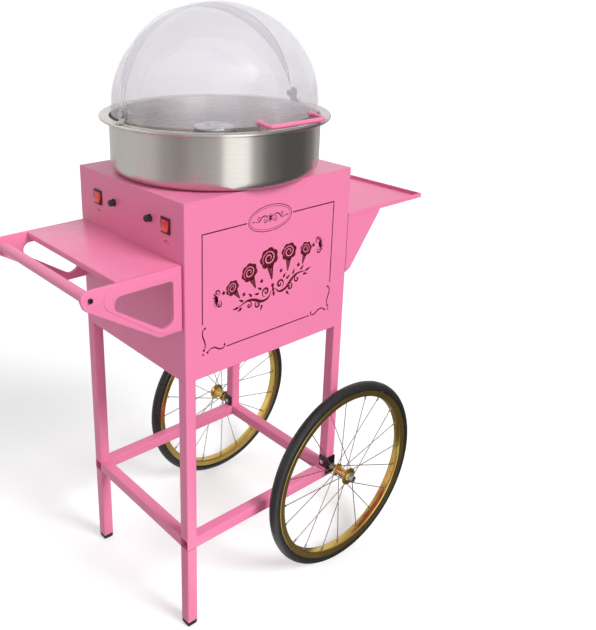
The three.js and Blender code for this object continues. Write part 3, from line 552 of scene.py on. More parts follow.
def plate(outlines, low, high, bevel=0.5, plane="XZ"):
    """A flat plate in a plane, XZ or XY, with holes and softened edges. The outside comes first."""
    curve = bpy.data.curves.new("outline", "CURVE")
    curve.dimensions = "2D"
    curve.fill_mode = "BOTH"
    for outline in outlines:
        spline = curve.splines.new("POLY")
        spline.points.add(len(outline) - 1)
        for point, (u, v) in zip(spline.points, outline):
            point.co = (u, v, 0.0, 1.0)
        spline.use_cyclic_u = True
    curve.extrude = (high - low) / 2 - bevel
    curve.bevel_depth = bevel
    curve.bevel_resolution = 2
    curve.offset = -bevel
    holder = bpy.data.objects.new("outline", curve)
    bpy.context.collection.objects.link(holder)
    graph = bpy.context.evaluated_depsgraph_get()
    mesh = bpy.data.meshes.new_from_object(holder.evaluated_get(graph))
    bpy.data.objects.remove(holder)
    bpy.data.curves.remove(curve)
    bm = bmesh.new()
    bm.from_mesh(mesh)
    bpy.data.meshes.remove(mesh)
    bmesh.ops.remove_doubles(bm, verts=bm.verts, dist=0.002)
    middle = (low + high) / 2
    if plane == "XZ":
        bm.transform(Matrix.Translation((0, middle, 0)) @ Matrix.Rotation(pi / 2, 4, "X"))
    else:
        bm.transform(Matrix.Translation((0, 0, middle)))
    return bm


def merge(*parts):
    """Puts several meshes into the first one."""
    whole = parts[0]
    for part in parts[1:]:
        mesh = bpy.data.meshes.new("part")
        part.to_mesh(mesh)
        part.free()
        whole.from_mesh(mesh)
        bpy.data.meshes.remove(mesh)
    return whole


def smooth_path(points, steps):
    """A smooth line through the points, with a number of steps between each two."""
    points = [Vector(p) for p in points]
    ends = [2 * points[0] - points[1]] + points + [2 * points[-1] - points[-2]]
    line = []
    for i in range(1, len(ends) - 2):
        a, b, c, d = ends[i - 1 : i + 3]
        for k in range(steps):
            t = k / steps
            square, cube = 2 * a - 5 * b + 4 * c - d, 3 * b - a - 3 * c + d
            line.append(0.5 * (2 * b + (c - a) * t + square * t**2 + cube * t**3))
    line.append(points[-1])
    return line


def sweep(bm, path, radius, sides=16):
    """A round bar along a path. Radius is a number, or says the radius at each step."""
    path = [Vector(p) for p in path]
    count = len(path)
    across = None
    rings = []
    for i, here in enumerate(path):
        before = path[i - 1] if i else here
        after = path[i + 1] if i < count - 1 else here
        along = (after - before).normalized()
        if across is None:
            hint = Vector((0, 0, 1)) if abs(along.z) < 0.9 else Vector((1, 0, 0))
            across = along.cross(hint).normalized()
        across = (across - along * across.dot(along)).normalized()
        other = along.cross(across)
        reach = radius(i / (count - 1)) if callable(radius) else radius
        rings.append(ring_about(bm, here, across, other, reach, sides))
    close_bar(bm, rings)
    return bm


def carve(obj, cutter):
    """Cuts a mesh in millimetres out of a piece."""
    cutter.transform(TO_ROW)
    bmesh.ops.recalc_face_normals(cutter, faces=cutter.faces)
    mesh = bpy.data.meshes.new("cutter")
    cutter.to_mesh(mesh)
    cutter.free()
    tool = bpy.data.objects.new("cutter", mesh)
    bpy.context.collection.objects.link(tool)
    saw = obj.modifiers.new("saw", "BOOLEAN")
    saw.operation = "DIFFERENCE"
    saw.object = tool
    saw.solver = "EXACT"
    graph = bpy.context.evaluated_depsgraph_get()
    carved = bpy.data.meshes.new_from_object(obj.evaluated_get(graph))
    obj.modifiers.remove(saw)
    old = obj.data
    obj.data = carved
    name = old.name
    bpy.data.meshes.remove(old)
    carved.name = name
    carved.polygons.foreach_set("use_smooth", [True] * len(carved.polygons))
    carved.set_sharp_from_angle(angle=radians(SHARP))
    bpy.data.objects.remove(tool)
    bpy.data.meshes.remove(mesh)


def prism(sides, radius, low, high, axis, centre):
    """A flat-ended bar with a number of sides."""
    bm = bmesh.new()
    rings = []
    for along in (low, high):
        turned = [TURNS[axis](radius, TAU * k / sides, along) for k in range(sides)]
        rings.append([bm.verts.new(Vector(centre) + point) for point in turned])
    close_bar(bm, rings)
    return bm


BOX_FACES = ((0, 1, 3, 2), (4, 6, 7, 5), (0, 4, 5, 1), (2, 3, 7, 6), (0, 2, 6, 4), (1, 5, 7, 3))


def box_mesh(low, high):
    bm = bmesh.new()
    xs, ys, zs = zip(low, high)
    v = [bm.verts.new((x, y, z)) for z in zs for y in ys for x in xs]
    for face in BOX_FACES:
        bm.faces.new([v[i] for i in face])
    return bm


# ------------ frame tubes
TUBE_CORNER = 2.6
TUBE_WALL = 1.5
TUBE_BORE_CORNER = 1.2
WELD_RADIUS = 1.5
WELD_STEP = 0.9
AXES = {"X": 0, "Y": 1, "Z": 2}


def square_tube(node, axis):
    """A seamless square tube with rounded corners and open, slightly broken ends."""
    low, high = spot(node)
    along = AXES[axis]
    others = [i for i in range(3) if i != along]
    half = (high[others[0]] - low[others[0]]) / 2
    inner = half - TUBE_WALL
    start, end = low[along], high[along]
    soft = 0.35  # how far the ends are broken
    stations = [
        (half, TUBE_CORNER, start + soft), (half - soft, TUBE_CORNER, start),
        (inner, TUBE_BORE_CORNER, start), (inner, TUBE_BORE_CORNER, end),
        (half - soft, TUBE_CORNER, end), (half, TUBE_CORNER, end - soft),
    ]
    bm = bmesh.new()
    rings = []
    for reach, radius, place in stations:
        ring = []
        for u, v in rounded_box(reach, reach, radius):
            point = Vector((0, 0, 0))
            point[along] = place
            point[others[0]] = (low[others[0]] + high[others[0]]) / 2 + u
            point[others[1]] = (low[others[1]] + high[others[1]]) / 2 + v
            ring.append(bm.verts.new(point))
        rings.append(ring)
    rings_to_faces(bm, rings, True)
    make_piece(f"{node}_tube", bm, "cart", "paint", [node], sharp=30)


def weld(bm, start, end):
    """A rippled weld bead along a joint."""
    start, end = Vector(start), Vector(end)
    steps = max(8, int((end - start).length / WELD_STEP))
    path = [start.lerp(end, i / steps) for i in range(steps + 1)]

    def ripple(t):
        taper = min(1.0, 6 * min(t, 1 - t) + 0.35)
        return WELD_RADIUS * taper * (1 + 0.09 * sin(t * steps * 1.9))

    sweep(bm, path, ripple, 8)


def make_frame():
    for side, end in ENDS:
        square_tube(f"rail_{end}", "X")
        for _, xend in XENDS:
            square_tube(f"post_{end}_{xend}", "Z")
        square_tube(f"leg_{end}", "Z")
    for _, xend in XENDS:
        square_tube(f"rail_{xend}", "Y")
    ring_low, ring_high = spot("rail_front")
    inner_x = HALF_W - (ring_high.z - ring_low.z)
    inner_y = HALF_D - (ring_high.z - ring_low.z)
    beads = bmesh.new()
    for side, _ in ENDS:
        for xside, _ in XENDS:
            x, y = xside * inner_x, side * inner_y
            far_x, far_y = xside * (HALF_W - TUBE_CORNER), side * (HALF_D - TUBE_CORNER)
            low, high = ring_low.z + TUBE_CORNER, ring_high.z
            weld(beads, (x, y, low), (x, y, high - TUBE_CORNER))
            for z in (high, ring_low.z) if xside < 0 else (high,):
                weld(beads, (x, side * (inner_y + 2), z), (x, far_y, z))
                weld(beads, (xside * (inner_x + 2), y, z), (far_x, y, z))
    make_piece("frame_welds", beads, "cart", "paint")


def make_feet():
    for _, end in ENDS:
        node = f"foot_{end}"
        (x, y, _), (half, _, _) = middle_of(node)
        plug = 10.9  # half of the part inside the leg
        levels = [
            (half - 3.2, 0.0), (half - 2.0, 0.4), (half - 0.9, 1.6), (half - 0.2, 3.6),
            (half, 6.0), (half, 10.4), (half - 0.5, 11.6), (half - 1.2, 12.0), (plug, 12.0),
            (plug, 27.0), (plug - 2.0, 30.0),
        ]
        bm = bmesh.new()
        rings = []
        for reach, z in levels:
            ring = [bm.verts.new((x + u, y + v, z)) for u, v in rounded_box(reach, reach, 3.5)]
            rings.append(ring)
        close_bar(bm, rings)
        make_piece(f"{node}_cap", bm, "cart", "foot", [node], sharp=40)


make_frame()
make_feet()


# ------------ cabinet
DECK_HEIGHTS = (968.5, 970)
DECK_GAP = 1.8  # from the cabinet's outside to the deck's edge
DECK_HOLE = 23


def make_cabinet():
    keep_node("cabinet_shell", "cabinet_wrap", "cart", "paint", 0.5, 3)
    outline = rounded_box(HALF_W - DECK_GAP, HALF_D - DECK_GAP, 1.4)
    deck = plate([outline, arc(0, 0, DECK_HOLE, 0, 350, 35)], *DECK_HEIGHTS, 0.4, "XY")
    make_piece("cabinet_top", deck, "cart", "paint", ["cabinet_deck"])
    keep_node("cabinet_base", "cabinet_floor", "cart", "paint", 0.4)
    keep_node("inlet_socket", "power_inlet", "cart", "black", 0.5, 3)


make_cabinet()


# ------------ controls
ROCKER_TILT = 8  # degrees
ROCKER_HALF = 11.4


def rocker_profile():
    """The rocker's side: two dished halves that meet in a shallow valley, and a round back."""
    points = []
    for i in range(-8, 9):
        t = 1 - abs(i) / 8
        depth = -7.5 + 1.9 * t + 0.45 * sin(pi * t)
        points.append((depth, copysign(ROCKER_HALF, i) * (1 - t)))
    points += [(3, 10), (6.5, 5.5), (8, 0), (6.5, -5.5), (3, -10)]
    return points


def make_controls():
    tilt = Matrix.Rotation(radians(ROCKER_TILT), 4, "Y")
    for side, end in ENDS:
        bezel = f"switch_bezel_{end}"
        keep_node(f"{bezel}_frame", bezel, "cart", "black", 0.7, 3)
        middle, size = middle_of(bezel)
        half = size.y - 3.8
        bm = plate([rocker_profile()], -half, half, 0.5)
        bm.transform(Matrix.Translation((-HALF_W + 2, middle.y, middle.z)) @ tilt)
        paddle = f"switch_rocker_{end}"
        make_piece(f"{paddle}_paddle", bm, f"{end}_rocker", "red", [paddle], sharp=40)

        _, y, z = middle_of(f"fuse_body_{end}")[0]
        collar = [(4.4, -2.6), (7.2, -2.6), (7.9, -1.9), (7.9, -0.3), (6, -0.3), (6, 24), (4.4, 24)]
        collar = [(radius, -HALF_W + along) for radius, along in collar]
        body = lathe(collar, "X", (0, y, z), 48)
        make_piece(f"fuse_body_{end}_collar", body, "cart", "black", [f"fuse_body_{end}"])

        def knurl(radius, along, angle):
            return 0.32 * cos(18 * angle) if radius > 6 and along < -HALF_W - 3.2 else 0.0

        face = -HALF_W - 12
        grip = [(0, 0), (4.6, 0), (5.8, 0.3), (6.3, 1.1), (6.4, 7.4), (6.8, 8.2), (6.8, 9.1)]
        grip = [(radius, face + along) for radius, along in [*grip, (3.8, 9.1)]]
        grip += [(3.8, -HALF_W + 11), (0, -HALF_W + 12)]
        cap = lathe(grip, "X", (0, y, z), 108, knurl)
        node = f"fuse_cap_{end}"
        made = make_piece(f"{node}_grip", cap, f"{end}_fuse_cap", "black", [node])
        carve(made, box_mesh((face - 1, y - 5, z - 0.8), (face + 1.2, y + 5, z + 0.8)))


make_controls()


# ------------ tray, arms and handle
TRAY_LOW, TRAY_HIGH = spot("work_tray")
ARM_TOP = TRAY_HIGH.z
ARM_FOOT = ARM_TOP - 131
NOSE = Vector((-HALF_W - 196, 0, 834))


def arm_outline():
    root = -HALF_W - 2.3
    return rounded(
        [
            (root, ARM_TOP, 1.5), (NOSE.x - 24, ARM_TOP, 14.5),
            (NOSE.x - 12, NOSE.z - 17, 14.5), (-HALF_W - 54, ARM_FOOT, 5), (root, ARM_FOOT, 1.5),
        ],
        10,
    )


def arm_window():
    return rounded(
        [
            (-HALF_W - 22, ARM_TOP - 24, 7), (-HALF_W - 186, ARM_TOP - 24, 16),
            (-HALF_W - 44, ARM_TOP - 118, 17), (-HALF_W - 22, ARM_TOP - 108, 17),
        ],
        12,
    )


def arm_raised():
    """The raised field round the window, widest at the nose."""
    return rounded(
        [
            (-HALF_W - 10, ARM_TOP - 7, 6), (-HALF_W - 216, ARM_TOP - 7, 22),
            (-HALF_W - 50, ARM_TOP - 126, 8), (-HALF_W - 10, ARM_TOP - 126, 6),
        ],
        12,
    )


def make_handle():
    for side, end in ENDS:
        low, high = spot(f"handle_arm_{end}")
        outer, inner = (low.y + 1.2, high.y) if side < 0 else (high.y - 1.2, low.y)
        y0, y1 = min(outer, inner), max(outer, inner)
        hole = arc(NOSE.x, NOSE.z, 3.2, 0, 345, 23)
        body = plate([arm_outline(), arm_window(), hole], y0, y1, 1.2)
        face = (outer - 1.1, outer + 0.6) if side < 0 else (outer - 0.6, outer + 1.1)
        field = plate([arm_raised(), arm_window()], *face, 0.6)
        arm = merge(body, field)
        make_piece(f"arm_{end}", arm, "cart", "paint", [f"handle_arm_{end}"], sharp=50)

        head = outer + side * 0.3
        tip = outer + side * 4.0
        profile = [
            (0, tip), (3.9, tip), (4.4, tip - side * 0.3), (4.6, tip - side * 0.9), (4.6, head),
            (2.8, head), (2.8, inner), (8.5, inner - side * 2), (8.5, inner - side * 15),
            (7.5, inner - side * 16), (0, inner - side * 16),
        ]
        bm = lathe(profile, "Y", (NOSE.x, 0, NOSE.z), 40)
        made = make_piece(f"arm_screw_{end}", bm, "cart", "dark", [f"handle_screw_{end}"])
        deep, clear_of = tip - side * 2.6, tip + side * 2
        carve(made, prism(6, 2.3, deep, clear_of, "Y", (NOSE.x, 0, NOSE.z)))

    low, high = spot("handle_tube")
    radius = (high.x - low.x) / 2
    ends = [(radius - 2, low.y), (radius - 0.6, low.y), (radius, low.y + 0.6)]
    ends += [(radius, high.y - 0.6), (radius - 0.6, high.y), (radius - 2, high.y)]
    centre = ((low.x + high.x) / 2, 0, (low.z + high.z) / 2)
    make_piece("push_bar", lathe(ends, "Y", centre), "cart", "paint", ["handle_tube"])


def make_tray():
    tip, root = TRAY_LOW.x, TRAY_HIGH.x
    top, skirt = ARM_TOP, ARM_TOP - 13
    sheet = 1.5
    outer = [(root, top)] + arc(tip + 3, top - 3, 3, 90, 180, 6)
    outer += arc(tip + 2.4, skirt + 2.4, 2.4, 180, 270, 6) + [(tip + 9, skirt)]
    inner = [(tip + 9, skirt + sheet)] + arc(tip + 2.4, skirt + 2.4, 0.9, 270, 180, 4)
    inner += arc(tip + 3, top - 3, 1.5, 180, 90, 4)
    inner += [(root - sheet, top - sheet), (root - sheet, top - 16), (root, top - 16)]
    bm = plate([outer + inner], TRAY_LOW.y, TRAY_HIGH.y, 0.3)
    make_piece("tray_sheet", bm, "cart", "paint", ["work_tray"], sharp=50)


def make_shelf():
    keep_node("shelf_pan", "end_shelf", "cart", "paint", 0.55, 3)
    for _, end in ENDS:
        node = f"shelf_gusset_{end}"
        keep_node(f"{node}_plate", node, "cart", "paint", 0.5, 3)


make_tray()
make_handle()
make_shelf()


# ------------ wheels
def tyre_profile(rim, out, half):
    """A round tyre with a ribbed tread and a line moulded on each wall."""
    centre = rim + 5
    points = [(rim + 0.3, half - 2.5), (rim + 0.3, -half + 2.5), (rim + 2.5, -half + 0.9)]
    steps = 44
    for i in range(steps + 1):
        angle = pi * i / steps
        lift = 0.0
        if abs(angle - pi / 2) < 0.75:
            lift = -0.45 * (0.5 - 0.5 * cos((angle - pi / 2) * 25))
        if abs(abs(angle - pi / 2) - 1.16) < 0.05:
            lift = 0.5
        reach = 1 + lift / 13
        outward = centre + (out - centre) * sin(angle) * reach
        points.append((outward, -half * cos(angle) * reach))
    points.append((rim + 2.5, half - 0.9))
    return points


def rim_profile(rim, bottom, half):
    """A box-section rim with rolled edges, a shallow crown inside and a dropped well outside."""
    points = [(rim - 5, -half + 4.5), (rim - 2, -half + 3.2)]
    points += arc(rim - 1.4, -half + 1.4, 1.4, 30, -110, 6)
    points += [(rim - 4, -half + 0.6), (bottom + 5, -half + 0.9)]
    points += arc(bottom + 4.5, -half + 5, 4.2, -100, -170, 5)
    points += [(bottom, -half + 7.5), (bottom - 0.25, 0), (bottom, half - 7.5)]
    points += arc(bottom + 4.5, half - 5, 4.2, 170, 100, 5)
    points += [(bottom + 5, half - 0.9), (rim - 4, half - 0.6)]
    points += arc(rim - 1.4, half - 1.4, 1.4, 110, -30, 6)
    points += [(rim - 2, half - 3.2), (rim - 5, half - 4.5)]
    return points


def hub_profile(half):
    bore = 5.4
    return [
        (bore, -half), (8.6, -half), (9.2, -half + 0.6), (9.6, -half + 4), (10.4, -half + 5.6),
        (14.2, -half + 6.6), (15, -half + 7.3), (15, -half + 8.8), (14.2, -half + 9.5),
        (11.2, -half + 11), (10, -half + 14), (10, half - 18), (12, half - 13),
        (19.8, half - 9.4), (21, half - 8.6), (21, half - 6.6), (20, half - 5.9),
        (13, half - 4.6), (11, half - 3), (10.4, half - 0.7), (9.8, half), (bore, half),
    ]


SPOKES = 20
SPOKE_LEAD = 0.62  # radians that a spoke's hub end leads or trails its rim end
TYRE_DEPTH = 19
RIM_DEPTH = 16
HUB_HALF = 25
AXLE_PARTS = (
    ("axle", "zinc"),
    ("axle_nut", "zinc"),
    ("axle_bracket", "dark"),
    ("bracket_bolt", "steel"),
)


def spoke_set(rim_inner, half):
    """Crossing wires from the flanges to the rim, each with its nipple."""
    bm = bmesh.new()
    for i in range(SPOKES):
        outer = i % 2 == 0
        turn = TAU * i / SPOKES
        lead = (1 if i % 4 < 2 else -1) * SPOKE_LEAD
        hub_r = 18.6 if outer else 12.8
        hub_y = half - 7.5 if outer else -half + 8.2
        side = 1 if (i // 2) % 2 == 0 else -1
        start = TURNS["Y"](hub_r, turn + lead, hub_y - side * 2.2)
        elbow = TURNS["Y"](hub_r, turn + lead, hub_y + side * 2.0)
        end = TURNS["Y"](rim_inner + 3, turn, 2.5 if outer else -2.5)
        run = (end - elbow).normalized()
        bend = [elbow - (elbow - start) * 0.25, elbow + run * 1.2, elbow + run * 4]
        sweep(bm, [start, *bend, end], 1.0, 8)
        base = end - run * 13
        steps = ((0, 1.3), (0.8, 2.0), (9, 2.0), (9.4, 2.6))
        stations = [(base + run * along, radius) for along, radius in steps] + [(end, 2.6)]
        across = run.cross(Vector((0, 1, 0))).normalized()
        other = run.cross(across)
        close_bar(bm, [ring_about(bm, at, across, other, radius, 8) for at, radius in stations])
    return bm


def make_wheels():
    for side, end in ENDS:
        body = f"{end}_wheel"
        low, high = spot(f"tyre_{end}")
        centre = (low + high) / 2
        out, half = (high.z - low.z) / 2, (high.y - low.y) / 2
        facing = Matrix.Translation(centre) @ Matrix.Rotation(pi if side < 0 else 0.0, 4, "Z")
        rim = out - TYRE_DEPTH
        bottom = rim - RIM_DEPTH
        turned = (
            ("tyre", "rubber", tyre_profile(rim, out, half), 180, "tyre", 60),
            ("rim", "hoop", rim_profile(rim, bottom, 12), 160, "gold", 50),
            ("hub", "shell", hub_profile(HUB_HALF), 64, "gold", 40),
        )
        for name, kind, profile, segments, look, sharp in turned:
            bm = lathe(profile, "Y", (0, 0, 0), segments)
            bm.transform(facing)
            node = f"{name}_{end}"
            make_piece(f"{node}_{kind}", bm, body, look, [node], sharp=sharp)
        bm = spoke_set(bottom, HUB_HALF)
        bm.transform(facing)
        make_piece(f"spokes_{end}", bm, body, "spoke", sharp=50)
        for name, look in AXLE_PARTS:
            node = f"{name}_{end}"
            keep_node(f"{node}_part", node, "cart", look, 0.5, 3)


make_wheels()


# ------------ bowl
BOWL_LOW, BOWL_HIGH = spot("bowl")


def make_bowl():
    bottom, top = BOWL_LOW.z, BOWL_HIGH.z
    wall, flat, corner, thick = 220, 198, 22, 1.2
    flange, curl = BOWL_HIGH.x, 4.0
    outer = [(52, bottom)]
    outer += arc(flat, bottom + corner, corner, -90, 0, 10)
    lip = ((0, 7.6), (0.3, 6), (1.1, 4.4), (2.6, 3), (5, 2.4))
    outer += [(wall + out, top - down) for out, down in lip]
    outer += [(flange - curl - 2, top - 2.2)]
    outer += arc(flange - curl, top - curl, curl - thick, 80, -60, 7)
    inner = arc(flange - curl, top - curl, curl, -60, 90, 9)
    inner += [(wall + 5, top - 0.7), (wall + 2.2, top - 1.0), (wall + 0.4, top - 1.9)]
    inner += [(wall - 0.7, top - 3.4), (wall - thick, top - 5.4)]
    inner += arc(flat, bottom + corner, corner - thick, 0, -90, 10)
    inner += [(150, bottom + thick), (149, bottom + thick + 0.5)]
    inner += [(146, bottom + thick + 0.5), (145, bottom + thick), (52, bottom + thick)]
    bm = lathe(outer + inner, "Z", (0, 0, 0), 192)
    make_piece("bowl_pan", bm, "bowl", "bowl", ["bowl"], sharp=50)


make_bowl()


# ------------ dome
SHELLS = {"dome_front": (225.0, 204.0), "dome_rear": (220.6, 199.6)}
DOME_SKIN = 2.6
DOME_Z = 1106.0  # height of the turning axis
FLOOR_CUT = -14.0  # height of the shells' lower edge against that axis
FRONT_SEAM = 109.5  # degrees from the front over the top
REAR_SEAM = 95.0
SHELL_ROWS, SHELL_COLUMNS = 96, 72
BEAD_LENGTH = 3.0  # width of the thickened edge at a seam


def shell_grid(half, radius, limits, swell):
    """Rows of points over part of a spheroid along X, between the angles that limits gives."""
    rows = []
    start = asin(5.0 / radius)
    for i in range(SHELL_ROWS + 1):
        u = start + (pi - 2 * start) * i / SHELL_ROWS
        ring_radius = radius * sin(u)
        low, high = limits(ring_radius)
        row = []
        for j in range(SHELL_COLUMNS + 1):
            t = j / SHELL_COLUMNS
            angle = low + (high - low) * t
            extra = swell(t, abs(high - low) * ring_radius)
            reach = ring_radius + extra * sin(u)
            along = -(half + extra) * cos(u)
            row.append(Vector((along, -reach * cos(angle), DOME_Z + reach * sin(angle))))
        rows.append(row)
    return rows


def make_shell(node, body, front):
    half, radius = SHELLS[node]

    def limits(ring_radius):
        floor = -asin(min(1.0, -FLOOR_CUT / ring_radius))
        if front:
            seam = radians(FRONT_SEAM)
            return max(floor, seam - pi), seam
        seam = radians(REAR_SEAM)
        return seam, min(pi - floor, seam + pi)

    def swell(t, length):
        from_seam = (1 - t if front else t) * length
        return (0.9 if front else 0.7) * exp(-((from_seam / BEAD_LENGTH) ** 4))

    outside = shell_grid(half, radius, limits, swell)
    inside = shell_grid(half - DOME_SKIN, radius - DOME_SKIN, limits, lambda t, length: 0.0)
    bm = bmesh.new()
    top = [[bm.verts.new(p) for p in row] for row in outside]
    under = [[bm.verts.new(p) for p in row] for row in inside]
    rows, columns = len(top), len(top[0])
    for grid in (top, under):
        for i in range(rows - 1):
            for j in range(columns - 1):
                bm.faces.new((grid[i][j], grid[i + 1][j], grid[i + 1][j + 1], grid[i][j + 1]))
    rim = [(i, 0) for i in range(rows)] + [(rows - 1, j) for j in range(1, columns)]
    rim += [(i, columns - 1) for i in range(rows - 2, -1, -1)]
    rim += [(0, j) for j in range(columns - 2, 0, -1)]
    for k, (i, j) in enumerate(rim):
        m, n = rim[(k + 1) % len(rim)]
        bm.faces.new((top[i][j], top[m][n], under[m][n], under[i][j]))
    make_piece(f"{node}_shell", bm, body, "clear", [node], sharp=50)


EDGE_BEAD = 1.4  # radius of the bead along a shell's seam edge
EDGE_START = 16.0  # distance from the turning axis at which a bead starts


def make_edge(node, body, degrees):
    """The bead along the edge that a shell has over the top, in the near-white painted highlight
    look.
    """
    half, radius = (size - DOME_SKIN / 2 for size in SHELLS[node])
    start = asin(EDGE_START / radius)
    seam = radians(degrees)
    path = []
    steps = 120
    for k in range(steps + 1):
        turn = start + (pi - 2 * start) * k / steps
        reach = radius * sin(turn)
        place = (-half * cos(turn), -reach * cos(seam), DOME_Z + reach * sin(seam))
        path.append(Vector(place))
    bm = sweep(bmesh.new(), path, EDGE_BEAD, 12)
    make_piece(f"{node}_edge", bm, body, "edge", sharp=50)


HANDLE_SHIFT = 20.0  # middle of the dome's handle, to the right of the dome's middle
HANDLE_HALF = 72.0
HANDLE_FOOT = -7.5  # height of the feet against the turning axis


def make_dome_handle():
    half, radius = SHELLS["dome_front"]

    def shell_y(x):
        return -radius * sqrt(1 - (x / half) ** 2 - (HANDLE_FOOT / radius) ** 2)

    bar_y, bar_z = -radius - 26, -11
    left, right = HANDLE_SHIFT - HANDLE_HALF, HANDLE_SHIFT + HANDLE_HALF
    points = [
        (left, shell_y(left) - 0.4, HANDLE_FOOT),
        (left - 1, shell_y(left) - 10, HANDLE_FOOT - 1), (left + 2, bar_y + 8, bar_z),
        (left + 14, bar_y, bar_z), (HANDLE_SHIFT, bar_y - 1, bar_z), (right - 14, bar_y, bar_z),
        (right - 2, bar_y + 8, bar_z), (right + 1, shell_y(right) - 10, HANDLE_FOOT - 1),
        (right, shell_y(right) - 0.4, HANDLE_FOOT),
    ]
    path = [p + Vector((0, 0, DOME_Z)) for p in smooth_path(points, 12)]
    bm = sweep(bmesh.new(), path, 4.5, 20)
    for x in (left, right):
        foot = Vector((x, shell_y(x), HANDLE_FOOT))
        slope = Vector((x / half**2, foot.y / radius**2, foot.z / radius**2)).normalized()
        middle = foot + Vector((0, 0, DOME_Z))
        stations = [(0.3, 6.6), (1.6, 6.6), (2.6, 6.0), (3.2, 5.0)]
        path = [middle + slope * d for d, _ in stations]
        sizes = [r for _, r in stations]
        sweep(bm, path, lambda t, sizes=sizes: sizes[min(3, round(t * 3))], 20)
    make_piece("dome_pull", bm, "dome_lid", "paint", ["dome_handle"], sharp=40)


def make_dome():
    make_shell("dome_front", "dome_lid", True)
    make_shell("dome_rear", "bowl", False)
    make_edge("dome_front", "dome_lid", FRONT_SEAM)
    make_edge("dome_rear", "bowl", REAR_SEAM)
    make_dome_handle()
    for _, xend in XENDS:
        node = f"dome_pivot_{xend}"
        keep_node(f"{node}_bolt", node, "bowl", "zinc", 0.5, 3)
        node = f"dome_bracket_{xend}"
        keep_node(f"{node}_strip", node, "bowl", "steel", 0.4, 3)


make_dome()


# ------------ motor and spinner
COLLAR_FOOT = 1048  # height at which the lid's collar ends
SKIRT_FOOT = 1050.3  # lowest height for the lid's outer wall


def make_drive():
    keep_node("motor_body", "motor", "cart", "iron", 0.8, sharp=50)
    keep_node("spindle", "drive_shaft", "spinner", "zinc", 0.4, sharp=50)
    low, high = spot("spinner_base")
    bottom, top, outer = low.z, high.z, high.x
    profile = [
        (6.3, bottom), (outer - 9, bottom), (outer - 5, bottom + 0.9),
        (outer - 1.6, bottom + 3.2), (outer, bottom + 7), (outer, top), (outer - 3, top),
        (outer - 3, bottom + 9), (outer - 5.5, bottom + 5.4), (outer - 11, bottom + 3),
        (15, bottom + 3), (13.4, bottom + 4), (12, bottom + 7), (12, bottom + 11.2),
        (11.2, bottom + 12), (6.3, bottom + 12),
    ]
    pan = lathe(profile, segments=96)
    make_piece("spinner_pan", pan, "spinner", "head", ["spinner_base"], sharp=40)
    keep_node("spinner_ring", "spinner_band", "spinner", "head", 0.25)
    low, high = spot("spinner_lid")
    low, high, reach = low.z, high.z, high.x
    skirt = max(low, SKIRT_FOOT)
    profile = [
        (19, COLLAR_FOOT), (21, COLLAR_FOOT), (21, high - 4), (reach - 3, high - 5),
        (reach - 3, low + 2.4), (reach - 3, skirt), (reach, skirt), (reach, high - 4.4),
        (reach - 0.9, high - 2.3), (reach - 3.4, high - 1.1), (22, high), (20, high - 0.4),
        (19, high - 1.6),
    ]
    cover = lathe(profile, segments=96)
    make_piece("spinner_cover", cover, "spinner", "head", ["spinner_lid"], sharp=40)


make_drive()


# ------------ printed decoration
INK = 0.12  # how far the print stands out, in millimetres
SUNK = 0.04  # and how far it goes into the sheet
PRINT_FACES = {
    "front": lambda u, v, depth: Vector((u, -HALF_D + depth, v)),
    "end": lambda u, v, depth: Vector((-HALF_W + depth, u, v)),
}


